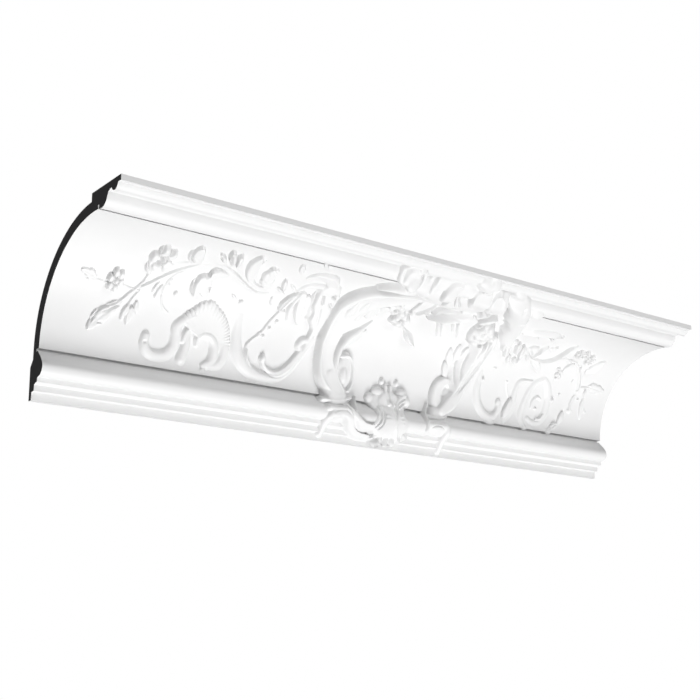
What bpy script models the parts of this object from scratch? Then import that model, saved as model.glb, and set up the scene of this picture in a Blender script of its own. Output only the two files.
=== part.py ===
"""Cornice moulding section: a cove between wall and ceiling, carved with rocaille work.

The section is one casting, so it is one object. X runs along it, Y into the wall and Z up,
with the origin at the middle of the narrow face that bears on the wall.

The carving is laid out in millimetres on the face of the cove:
  x  along the section, from its left end
  s  down the face: from the top of the cove, round its arc, and straight down below it
  h  out from that face, towards the room
"""

import bmesh
import bpy
from math import atan2, cos, degrees, hypot, pi, radians, sin, tau
from mathutils import Matrix, Vector

MM = 0.001

# Driving sizes, in millimetres. Y is 0 at the wall, and Z is 0 at the ceiling
LENGTH = 800
DROP = 173
PROJECTION = 175.3
COVE_RADIUS = 107.4
COVE_Y, COVE_Z = -125.4, -126.9
COVE_TOP, COVE_FOOT = 94.0, 1.6
BACK_RADIUS = 117
BACK_Y, BACK_Z = -122.7, -125.3
WALL_FACE_TOP = -139.9
CEILING_FACE_EDGE = -118.7
BEAD_RADIUS = 6.2
SWELL_RADIUS = 10.5
TORUS_RADIUS = 9.0
COVE_STEPS = 14

# A petal longer than this has one more ring of faces
LONG_PETAL = 22

COVE_LENGTH = radians(COVE_TOP - COVE_FOOT) * COVE_RADIUS
ORIGIN_Z = (WALL_FACE_TOP - DROP) / 2

COLOUR = (0.86, 0.86, 0.85, 1.0)
ROUGHNESS = 0.45


# The moulded profile

def arc(y, z, radius, start, end, steps):
    """Points round a circle in the YZ plane, from one angle in degrees to another."""
    turns = [radians(start + (end - start) * i / steps) for i in range(steps + 1)]
    return [(y + radius * cos(turn), z + radius * sin(turn)) for turn in turns]


def front_profile():
    """The moulded face, from the edge at the ceiling down to the foot at the wall."""
    top_fillet = [(-PROJECTION, 0), (-PROJECTION, -5.7), (-170.2, -5.7)]
    bead = arc(-163.8, -5.2, BEAD_RADIUS, 196, 338, 5)
    upper_swell = [(-157.4, -7.0), (-151.7, -8.8)]
    swell = arc(-139.6, -10.2, SWELL_RADIUS, 196, 308, 6)
    cove = arc(COVE_Y, COVE_Z, COVE_RADIUS, COVE_TOP, COVE_FOOT, COVE_STEPS)
    slope = [(-14.4, -125.3), (-18.9, -129.3), (-23.4, -134.2)]
    torus = arc(-19.0, -143.4, TORUS_RADIUS, 142, 262, 7)
    lower_fillet = [(-17.6, -152.5), (-17.4, -156.9)]
    cavetto = [(-13.9, -157.5), (-11.4, -158.8), (-11.1, -164.4)]
    foot = [(-5.7, -165.1), (-5.5, -DROP), (0, -DROP)]
    upper = top_fillet + bead + upper_swell + swell
    return upper + cove + slope + torus + lower_fillet + cavetto + foot


def back_profile():
    """The hollow back, from the top of the wall face up to the ceiling face."""
    shell = arc(BACK_Y, BACK_Z, BACK_RADIUS, 0, 88, COVE_STEPS // 2)
    return [(0, WALL_FACE_TOP), (-5.5, -133)] + shell + [(CEILING_FACE_EDGE, 0)]


def moulding():
    """The plain section: its outline swept along the length."""
    outline = bpy.data.curves.new("moulding_outline", "CURVE")
    outline.dimensions = "2D"
    outline.fill_mode = "BOTH"
    outline.extrude = LENGTH / 2 * MM
    points = front_profile() + back_profile()
    spline = outline.splines.new("POLY")
    spline.points.add(len(points) - 1)
    spline.use_cyclic_u = True
    for point, (y, z) in zip(spline.points, points):
        point.co = (y * MM, (z - ORIGIN_Z) * MM, 0, 1)
    along_x = Matrix(((0, 0, 1, 0), (1, 0, 0, 0), (0, 1, 0, 0), (0, 0, 0, 1)))
    return solid_of(outline, "cornice_moulding", bpy.context.scene.collection, along_x)


# Closed meshes

def close(mesh):
    """Welds the caps on and turns the faces out."""
    work = bmesh.new()
    work.from_mesh(mesh)
    bmesh.ops.remove_doubles(work, verts=work.verts, dist=0.01 * MM)
    bmesh.ops.recalc_face_normals(work, faces=work.faces)
    work.to_mesh(mesh)
    work.free()


def solid_of(curve, name, collection, matrix=Matrix()):
    """The curve as a mesh object. The curve itself is removed."""
    holder = bpy.data.objects.new(name + "_curve", curve)
    bpy.context.scene.collection.objects.link(holder)
    seen = holder.evaluated_get(bpy.context.evaluated_depsgraph_get())
    mesh = bpy.data.meshes.new_from_object(seen)
    bpy.data.objects.remove(holder)
    close(mesh)
    made = bpy.data.objects.new(name, mesh)
    made.matrix_world = matrix
    collection.objects.link(made)
    return made


# Places on the face

def frame_at(x, s, h=0):
    """The point at (x, s, h) in metres, with the directions along, down and out."""
    turn = radians(COVE_TOP) - min(max(s, 0), COVE_LENGTH) / COVE_RADIUS
    along = Vector((1, 0, 0))
    out = Vector((0, -cos(turn), -sin(turn)))
    down = along.cross(out)
    y = COVE_Y + (COVE_RADIUS - h) * cos(turn) + min(s, 0)
    z = COVE_Z + (COVE_RADIUS - h) * sin(turn) - max(s - COVE_LENGTH, 0)
    return Vector((x - LENGTH / 2, y, z - ORIGIN_Z)) * MM, along, down, out


def smooth_path(knots, per_span):
    """Catmull-Rom points through the knots, each an (x, s, h, radius)."""
    ends = [knots[0]] + knots + [knots[-1]]
    path = []
    for a, b, c, d in zip(ends, ends[1:], ends[2:], ends[3:]):
        for t in [i / per_span for i in range(per_span)]:
            shares = (
                (2 * t**2 - t - t**3) / 2,
                (2 - 5 * t**2 + 3 * t**3) / 2,
                (t + 4 * t**2 - 3 * t**3) / 2,
                (t**3 - t**2) / 2,
            )
            path.append([sum(k * p[i] for k, p in zip(shares, (a, b, c, d))) for i in range(4)])
    return path + [list(knots[-1])]


# Elements of the carving, each half sunk in the face

class Carving:
    """Makes the elements as objects of one collection."""

    def __init__(self, collection):
        self.collection = collection

    def scroll(self, knots, sides_step=1, per_span=2):
        """A round strap through the knots (x, s, h, radius)."""
        strap = bpy.data.curves.new("scroll", "CURVE")
        strap.dimensions = "3D"
        strap.bevel_depth = MM
        strap.bevel_resolution = sides_step
        strap.use_fill_caps = True
        path = smooth_path(knots, per_span)
        spline = strap.splines.new("POLY")
        spline.points.add(len(path) - 1)
        for point, (x, s, h, radius) in zip(spline.points, path):
            point.co = (*frame_at(x, s, h)[0], 1)
            point.radius = radius
        solid_of(strap, "scroll", self.collection)

    def stem(self, places, radius=1.8):
        """A thin stem on the face through the places (x, s)."""
        self.scroll([(x, s, 0.6, radius) for x, s in places], sides_step=0, per_span=1)

    def swelling(self, x, s, h, half, heading=0, segments=5, rings=4):
        """A spheroid with half sizes along its heading, across it and outwards.

        The heading is in degrees: 0 points along the section and 90 down the face.
        """
        work = bmesh.new()
        bmesh.ops.create_uvsphere(work, u_segments=segments, v_segments=rings, radius=1)
        poles_along = Matrix.Rotation(pi / 2, 4, "Y")
        bmesh.ops.transform(work, matrix=poles_along, verts=work.verts)
        bmesh.ops.scale(work, vec=Vector(half) * MM, verts=work.verts)
        mesh = bpy.data.meshes.new("swelling")
        work.to_mesh(mesh)
        work.free()
        centre, along, down, out = frame_at(x, s, h)
        turn = radians(heading)
        ahead = along * cos(turn) + down * sin(turn)
        axes = Matrix((ahead, out.cross(ahead), out)).transposed().to_4x4()
        made = bpy.data.objects.new("swelling", mesh)
        made.matrix_world = Matrix.Translation(centre) @ axes
        self.collection.objects.link(made)

    def petal(self, base, tip, width, height=None, h=0):
        """A leaf, petal or bud from its base to its tip, both (x, s)."""
        reach_x, reach_s = tip[0] - base[0], tip[1] - base[1]
        length = hypot(reach_x, reach_s)
        heading = degrees(atan2(reach_s, reach_x))
        half = (length / 2, width / 2, height or min(0.32 * width + 1.5, 6))
        x, s = (base[0] + tip[0]) / 2, (base[1] + tip[1]) / 2
        rings = 4 if length > LONG_PETAL else 3
        self.swelling(x, s, h, half, heading, rings=rings)

    def flower(self, x, s, radius, petals=5, h=0, turn=0):
        """A ring of petals round a boss."""
        for i in range(petals):
            angle = tau * i / petals + radians(turn)
            tip = (x + radius * cos(angle), s + radius * sin(angle))
            self.petal((x, s), tip, radius * 0.72, height=h + radius * 0.32)
        self.swelling(x, s, h + radius * 0.1, (radius * 0.34,) * 2 + (h + radius * 0.38,))

    def spray(self, base, tips, width, height=None, h=0):
        """Leaf lobes that spread from one base to several tips."""
        for tip in tips:
            self.petal(base, tip, width, height, h)

    def shell(self, x, s, inner, outer, start, end, ribs, width):
        """Flutes that radiate from a centre. outer gives the radius at each end of the fan."""
        for i in range(ribs):
            share = i / (ribs - 1)
            angle = radians(start + (end - start) * share)
            reach = outer[0] + (outer[1] - outer[0]) * share
            near = (x + inner * cos(angle), s + inner * sin(angle))
            far = (x + reach * cos(angle), s + reach * sin(angle))
            self.petal(near, far, width, height=5)


# The carving, group by group. Places are (x, s), knots are (x, s, h, radius)

def left_sprays(carve):
    """Flowers, leaves and buds on thin stems over the left half of the cove."""
    knot = (87, 97)
    carve.stem([knot, (107, 78), (124, 61), (141, 50), (162, 46), (180, 52), (205, 67), (238, 72)])
    carve.stem([knot, (72, 96), (48, 96)])
    carve.stem([knot, (98, 60)])
    carve.stem([knot, (74, 110), (62, 127)])
    carve.stem([(91, 97), (85, 118)])
    carve.stem([(128, 64), (117, 78), (113, 93), (118, 107), (127, 115)])
    carve.stem([(223, 65), (209, 62), (199, 50), (197, 36), (199, 23)], 1.5)
    carve.stem([(266, 68), (250, 96), (236, 124), (229, 133), (228, 142)])
    carve.petal((44, 95), (23, 88), 11)
    carve.flower(60, 92, 12, turn=20)
    carve.flower(98, 57, 16)
    carve.spray((76, 108), [(45, 144), (52, 128)], 12)
    carve.spray((84, 114), [(77, 134), (87, 137), (94, 124)], 8)
    carve.petal((112, 82), (105, 104), 5)
    carve.petal((134, 55), (124, 26), 12)
    carve.spray((160, 44), [(147, 29), (155, 17), (169, 20)], 10)
    carve.spray((178, 68), [(150, 54), (141, 72), (145, 92), (163, 88)], 16)
    carve.petal((207, 68), (186, 20), 12)
    carve.spray((227, 66), [(214, 50), (208, 30)], 12)
    carve.spray((238, 72), [(236, 52), (250, 58)], 8)


def left_leaves(carve):
    """The big leaves and the bell flower beside the cartouche."""
    carve.scroll([(262, 23, 1, 2), (280, 15, 3, 5), (297, 24, 3, 6), (304, 40, 1, 3)])
    carve.spray((270, 62), [(251, 82), (264, 98), (280, 101)], 15, height=8)
    carve.spray((301, 100), [(279, 62), (291, 50), (305, 54), (316, 68)], 15, height=11)
    carve.scroll([(302, 96, 3, 6), (303, 112, 3, 6), (297, 126, 2, 5)])


def left_scrolls(carve):
    """Hooked scrolls and the fluted shell along the foot of the left half."""
    carve.scroll([(111, 131, 1, 4), (107, 149, 1, 6), (118, 165, 1, 7), (135, 158, 1, 7),
                  (141, 140, 1, 6), (144, 124, 1, 5)])
    carve.petal((146, 126), (152, 170), 14)
    carve.shell(178, 146, 18, (54, 30), -155, 30, 9, 15)
    carve.scroll([(166, 146, 1, 4), (167, 134, 1, 5), (180, 131, 1, 6), (188, 145, 1, 6),
                  (186, 161, 1, 6), (176, 169, 1, 4)])
    carve.scroll([(204, 124, 1, 6), (201, 148, 1, 7), (192, 166, 1, 6)])
    carve.scroll([(209, 122, 1, 5), (213, 148, 2, 7), (231, 168, 2, 8), (258, 171, 2, 8),
                  (284, 157, 2, 8), (299, 134, 2, 7), (306, 112, 2, 6)])
    carve.scroll([(249, 138, 1, 3), (252, 152, 2, 5), (268, 155, 2, 5), (284, 143, 2, 5)])
    carve.petal((236, 160), (223, 135), 8)


def cartouche(carve):
    """The two raised arms of the frame, with their volutes, pads and feet."""
    left_arm = [(345, 172), (330, 152), (321, 126), (320, 96), (326, 66), (338, 38), (356, 18),
                (382, 8)]
    right_arm = [(500, 170), (520, 157), (537, 136), (549, 108), (557, 76), (559, 46), (549, 18),
                 (528, 2)]
    for arm, outside in ((left_arm, -1), (right_arm, 1)):
        carve.scroll([(x, s, 4, 10) for x, s in arm], per_span=1)
        carve.scroll([(x + 6 * outside, s, 10, 5) for x, s in arm])
    carve.scroll([(348, 160, 5, 6), (340, 132, 7, 5), (344, 100, 5, 5), (361, 74, 2, 4)])
    carve.petal((344, 118), (369, 80), 10)
    carve.scroll([(348, 168, 5, 6), (364, 162, 7, 5), (370, 146, 8, 5), (360, 129, 8, 5),
                  (347, 133, 7, 4)])
    carve.swelling(356, 149, 5, (13, 8, 9), 90, 6, 6)
    carve.scroll([(500, 170, 5, 6), (485, 158, 7, 5), (483, 142, 8, 5), (496, 128, 8, 5),
                  (510, 136, 7, 4)])
    carve.swelling(498, 149, 5, (13, 9, 9), 90, 6, 6)
    carve.spray((538, 118), [(506, 130), (496, 112), (491, 96), (497, 80)], 12, height=10)
    for x, side in ((342, 1), (498, -1)):
        carve.swelling(x, 174, 8, (22, 10, 10), 0, 8, 6)
        carve.scroll([(x - 4 * side, 180, 9, 8), (x - 8 * side, 196, 8, 6),
                      (x - 11 * side, 207, 1, 5), (x - 16 * side, 215, -6, 4)], per_span=1)
        carve.scroll([(x + 6 * side, 182, 10, 6), (x + 20 * side, 194, 8, 5),
                      (x + 30 * side, 206, 1, 6), (x + 50 * side, 208, 1, 6),
                      (x + 66 * side, 200, 6, 6)], per_span=1)
        carve.scroll([(x + 33 * side, 167, 5, 4), (x + 34 * side, 184, 9, 5),
                      (x + 31 * side, 199, 6, 5)], per_span=1)


def crown(carve):
    """The shell-shaped boss that laps over the torus between the two feet."""
    carve.swelling(427, 186, 5, (34, 27, 9), 90, 8, 6)
    for side in (-1, 1):
        x = 427 + 15 * side
        carve.swelling(x + 8 * side, 161, 3, (13, 10, 10), 90)
        carve.swelling(x, 190, 8, (20, 10, 8), 90)
        carve.swelling(427 + 12 * side, 144, 3, (5, 5, 7))
    carve.petal((427, 200), (427, 146), 14, height=13, h=3)
    carve.scroll([(414, 172, 13, 4), (418, 188, 14, 5), (409, 203, 9, 5), (397, 205, 7, 4),
                  (395, 193, 10, 4)])
    carve.scroll([(454, 182, 11, 4), (458, 196, 11, 4), (469, 201, 8, 4), (474, 190, 9, 4)],
                 per_span=1)
    carve.spray((428, 192), [(402, 216), (418, 219), (434, 219), (450, 215)], 13, 7)


def garland(carve):
    """Roses, leaves and shells across the top, lapping over the upper mouldings."""
    carve.scroll([(372, 8, 2, 10), (410, 12, 3, 9), (455, 8, 3, 10), (500, 4, 2, 10),
                  (540, 8, 1, 10)], per_span=1)
    carve.swelling(366, -14, -2, (24, 22, 12), 0, 8, 6)
    carve.flower(366, -16, 22, petals=6, h=4)
    carve.spray((478, 16), [(438, -20), (452, -38), (472, -40), (492, -24)], 24, height=11)
    carve.scroll([(548, 20, 2, 10), (528, -10, -2, 10), (505, -22, -2, 8)], per_span=1)
    carve.petal((520, -12), (548, -30), 14)
    carve.spray((388, 18), [(378, 40), (394, 62), (404, 48)], 12)
    carve.spray((404, 60), [(412, 74), (424, 66)], 11)
    carve.petal((412, 70), (443, 92), 11)
    carve.petal((400, 46), (424, 8), 12)
    carve.petal((438, 44), (494, 24), 24, height=9)
    carve.petal((446, 6), (412, -34), 14)
    carve.flower(517, 58, 15, h=5)
    carve.spray((530, 56), [(544, 46), (546, 60)], 9, height=9)
    for x, s in ((348, 56), (363, 46), (378, 38)):
        carve.petal((x - 4, s - 14), (x + 6, s + 8), 13)


def right_scrolls(carve):
    """Hooked scrolls and the fluted shell along the foot of the right half."""
    carve.scroll([(562, 118, 1, 5), (561, 144, 2, 7), (575, 164, 2, 8), (598, 164, 2, 7),
                  (614, 150, 2, 7), (624, 130, 1, 6)])
    carve.scroll([(574, 138, 1, 3), (578, 151, 1, 4), (592, 155, 1, 4), (601, 144, 1, 4)])
    carve.shell(672, 147, 18, (48, 30), -150, 30, 8, 14)
    carve.scroll([(660, 152, 1, 4), (662, 136, 1, 5), (674, 132, 1, 5), (684, 144, 1, 6),
                  (680, 160, 1, 5), (668, 165, 1, 4)])
    carve.scroll([(664, 108, 1, 4), (650, 122, 1, 5), (642, 146, 1, 6), (640, 166, 1, 5)])
    carve.petal((678, 168), (712, 168), 10)
    carve.scroll([(734, 128, 1, 3), (744, 122, 1, 4), (755, 134, 1, 4), (746, 147, 1, 4),
                  (728, 154, 1, 5), (714, 146, 1, 4)], per_span=1)


def right_sprays(carve):
    """Flowers, leaves and buds on thin stems over the right half of the cove."""
    carve.scroll([(584, 41, 1, 2), (600, 28, 2, 4), (618, 24, 2, 5), (636, 27, 1, 3)])
    carve.petal((646, 32), (610, 44), 12)
    carve.petal((646, 50), (616, 72), 14)
    carve.spray((618, 60), [(577, 80), (596, 90), (612, 94)], 12)
    carve.stem([(636, 77), (650, 82), (663, 76), (672, 64), (678, 44)])
    carve.petal((640, 80), (654, 98), 8)
    carve.flower(706, 55, 13)
    carve.stem([(690, 73), (704, 70), (720, 80), (734, 96), (741, 116)], 2.2)
    carve.petal((729, 86), (757, 62), 14)
    carve.petal((703, 73), (686, 99), 12)
    carve.petal((740, 108), (788, 98), 12)


def main():
    for thing in list(bpy.data.objects):
        bpy.data.objects.remove(thing)
    carved = bpy.data.collections.new("carving")
    bpy.context.scene.collection.children.link(carved)
    carve = Carving(carved)
    for group in (left_sprays, left_leaves, left_scrolls, cartouche, crown, garland,
                  right_scrolls, right_sprays):
        group(carve)
    for element in carved.objects:
        element.hide_render = True
        element.display_type = "WIRE"

    cornice = moulding()
    casting = bpy.data.materials.new("polyurethane")
    casting.use_nodes = True
    shader = casting.node_tree.nodes["Principled BSDF"]
    shader.inputs["Base Color"].default_value = COLOUR
    shader.inputs["Roughness"].default_value = ROUGHNESS
    shader.inputs["Metallic"].default_value = 0
    cornice.data.materials.append(casting)
    union = cornice.modifiers.new("carving", "BOOLEAN")
    union.operation = "UNION"
    union.operand_type = "COLLECTION"
    union.collection = carved
    union.solver = "EXACT"


main()
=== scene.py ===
"""Cornice moulding section with rocaille carving: the finished casting, in a plain studio.

The carving is modelled as a relief: a grid of heights over the face of the cove, unrolled.
Places on the face are in millimetres:
  x  along the section, from its left end
  s  down the face: from the top of the cove, round its arc, and straight down below it
  h  out from that face, towards the room
"""

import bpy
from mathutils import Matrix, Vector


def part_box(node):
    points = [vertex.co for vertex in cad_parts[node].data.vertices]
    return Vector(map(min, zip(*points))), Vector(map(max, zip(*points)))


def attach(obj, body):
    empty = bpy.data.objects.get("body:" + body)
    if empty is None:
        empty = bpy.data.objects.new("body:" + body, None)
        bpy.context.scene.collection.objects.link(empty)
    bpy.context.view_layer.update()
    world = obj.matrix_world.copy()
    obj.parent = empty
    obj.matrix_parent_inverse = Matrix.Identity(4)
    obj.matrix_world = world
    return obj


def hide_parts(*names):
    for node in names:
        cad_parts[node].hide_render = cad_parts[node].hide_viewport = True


bl_info = {
    "name": "Cornice Moulding Section",
    "version": (1, 0, 0),
    "blender": (4, 5, 0),
    "location": "3D View > Sidebar > Cornice",
    "description": "Casts a carved cornice moulding section and sets it in a plain studio",
    "category": "Add Mesh",
}

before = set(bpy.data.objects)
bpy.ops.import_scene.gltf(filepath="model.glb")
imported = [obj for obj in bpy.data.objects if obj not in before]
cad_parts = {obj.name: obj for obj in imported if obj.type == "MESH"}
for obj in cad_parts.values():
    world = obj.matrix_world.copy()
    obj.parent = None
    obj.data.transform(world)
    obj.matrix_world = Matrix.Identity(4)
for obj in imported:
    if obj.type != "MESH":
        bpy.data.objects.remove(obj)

from math import cos, hypot, pi, radians, sin, tau

import bpy
import numpy as np
from mathutils import Matrix, Vector

MM = 0.001
NODE = "cornice_moulding"
CAD_LOW, CAD_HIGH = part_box(NODE)

# The moulded profile, in millimetres: y is 0 at the flat back face, z is 0 at the flat top
DROP = 173
PROJECTION = 175.3
COVE_RADIUS = 107.4
COVE_Y, COVE_Z = -125.4, -126.9
COVE_TOP, COVE_FOOT = 94.0, 1.6
BACK_RADIUS = 117
BACK_Y, BACK_Z = -122.7, -125.3
WALL_FACE_TOP = -139.9
CEILING_FACE_EDGE = -118.7
ORIGIN_Z = (WALL_FACE_TOP - DROP) / 2
COVE_LENGTH = radians(COVE_TOP - COVE_FOOT) * COVE_RADIUS

# The part of the unrolled face that may be carved, and the depth that stands for no carving
FIRST_S, LAST_S = -42, 222
BARE = -60
# Height at which the edge of a form starts: just under the face
FOOT = -1.0
# How far heights fall for each millimetre outside a form's edge
FALL = 6
DOME_FALL = 8
# A distance beyond any form
FAR = 1e3

# Longest span between points across the plain back
BACK_SPAN = 12
# Faces that meet at more than this are shown with a sharp edge
SHARP = radians(40)


# Profile

def arc(y, z, radius, start, end, steps):
    """Points round a circle in the YZ plane, from one angle in degrees to another."""
    turns = np.radians(np.linspace(start, end, steps + 1))
    return [(y + radius * cos(turn), z + radius * sin(turn)) for turn in turns]


def front_profile():
    """The moulded face, from the front edge of the top down to the foot of the back."""
    top_fillet = [(-PROJECTION, 0), (-PROJECTION, -5.7), (-170.2, -5.7)]
    bead = arc(-163.8, -5.2, 6.2, 196, 338, 14)
    upper_swell = [(-157.4, -7.0), (-151.7, -8.8)]
    swell = arc(-139.6, -10.2, 10.5, 196, 300, 16)
    upper_quirk = [(-134.3, -15.6), (-132.3, -15.6), (-132.3, -19.7)]
    cove = arc(COVE_Y, COVE_Z, COVE_RADIUS, COVE_TOP, COVE_FOOT, 90)
    lower_quirk = [(-12.6, -124.1), (-12.6, -126.4), (-16.0, -126.4)]
    slope = [(-18.9, -129.5), (-23.4, -134.2)]
    torus = arc(-19.0, -143.4, 9.0, 142, 262, 18)
    lower_fillet = [(-17.6, -152.5), (-17.4, -156.9)]
    cavetto = [(-13.9, -157.5), (-11.4, -158.8), (-11.1, -164.4)]
    foot = [(-5.7, -165.1), (-5.5, -DROP), (0, -DROP)]
    upper = top_fillet + bead + upper_swell + swell + upper_quirk
    return upper + cove + lower_quirk + slope + torus + lower_fillet + cavetto + foot


def back_profile():
    """The hollow back, from the upper edge of the flat back face up to the flat top."""
    shell = arc(BACK_Y, BACK_Z, BACK_RADIUS, 0, 88, 40)
    return [(0, WALL_FACE_TOP), (-5.5, -133)] + shell + [(CEILING_FACE_EDGE, 0)]


def divided(points, longest):
    """The same line with no span longer than this."""
    rows = [points[0]]
    for a, b in zip(points, points[1:]):
        parts = max(1, int(np.ceil(hypot(b[0] - a[0], b[1] - a[1]) / longest)))
        rows += [(a[0] + (b[0] - a[0]) * k / parts, a[1] + (b[1] - a[1]) * k / parts)
                 for k in range(1, parts + 1)]
    return np.array(rows)


def unrolled(rows):
    """Each row's s, its height h over the cove's own surface, and the way out in Y and Z."""
    y, z = rows[:, 0], rows[:, 1]
    turn = np.arctan2(z - COVE_Z, y - COVE_Y)
    turn = np.clip(turn, radians(COVE_FOOT), radians(COVE_TOP))
    top, foot = radians(COVE_TOP), radians(COVE_FOOT)
    depth = np.hypot(y - COVE_Y, z - COVE_Z)
    above = y < COVE_Y + COVE_RADIUS * cos(top)
    below = z < COVE_Z + COVE_RADIUS * sin(foot)
    depth = np.where(above, (z - COVE_Z) / sin(top), depth)
    depth = np.where(below, (y - COVE_Y) / cos(foot), depth)
    turn = np.where(above, top, np.where(below, foot, turn))
    s = (top - turn) * COVE_RADIUS
    s = np.where(above, y - COVE_Y - depth * cos(top), s)
    s = np.where(below, COVE_LENGTH + COVE_Z + depth * sin(foot) - z, s)
    return s, COVE_RADIUS - depth, np.stack([-np.cos(turn), -np.sin(turn)], axis=1)


def draped(s):
    """Height over the cove's own surface of a cloth laid on the moulded profile."""
    step, margin, touch = 0.5, 18, 2.5
    reach, spread = 16, 5
    rows_s, rows_h = unrolled(divided(front_profile(), step))[:2]
    line = np.arange(FIRST_S - margin, LAST_S + margin, step)
    top = np.array([rows_h[np.abs(rows_s - place) < touch].max(initial=BARE) for place in line])
    weight = np.exp(-(np.arange(-reach, reach + 1) / spread) ** 2 / 2)
    top = np.interp(line, line[top > BARE], top[top > BARE])
    smooth = np.convolve(np.pad(top, reach, "edge"), weight / weight.sum(), "valid")
    return np.interp(s, line, smooth)


# Relief

def smooth_path(knots, per_span=6):
    """Catmull-Rom points through the knots, each a tuple of place and sizes."""
    k = np.array(knots, float)
    k = np.vstack([2 * k[0] - k[1], k, 2 * k[-1] - k[-2]])
    t = (np.arange(per_span) / per_span)[:, None]
    shares = ((2 * t**2 - t - t**3) / 2, (2 - 5 * t**2 + 3 * t**3) / 2,
              (t + 4 * t**2 - 3 * t**3) / 2, (t**3 - t**2) / 2)
    spans = [sum(share * p for share, p in zip(shares, k[i:i + 4])) for i in range(len(k) - 3)]
    return np.vstack(spans + [k[-2:-1]])


def soft_max(a, b, blend):
    """The higher of two heights, with a small fillet where they meet."""
    near = np.maximum(blend - np.abs(a - b), 0)
    return np.maximum(a, b) + near**2 / (4 * blend)


def rounded(u):
    """A full round section. u is -1 and 1 at the edges."""
    return np.sqrt(np.maximum(1 - u**2, 0))


def soft(u):
    """A low round section that runs out gently at its edges."""
    return np.maximum(1 - u**2, 0) ** 0.75


def flattened(u):
    """A section with a broad back and rounded shoulders."""
    return np.maximum(1 - u**4, 0) ** 0.6


def channelled(u):
    """A section with a hollow between two raised rims."""
    rim, depth = 0.66, 0.16
    hollow = 1 - depth + depth * np.minimum(np.abs(u) / rim, 1) ** 2
    shoulder = np.sqrt(np.maximum(1 - (np.maximum(np.abs(u) - rim, 0) / (1 - rim)) ** 2, 0))
    return hollow * shoulder


def plated(u):
    """A flat section with steep edges."""
    return np.sqrt(np.maximum(1 - u**8, 0))


def banked(u):
    """A section that rises from nothing at one edge, u = -1, to a rim near the other."""
    rim, slope = 0.45, 1.3
    edge = np.clip((u - rim) / (1 - rim), 0, 1)
    return np.clip((u + 1) / (1 + rim), 0, 1) ** slope * np.sqrt(1 - edge**2)


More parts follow.
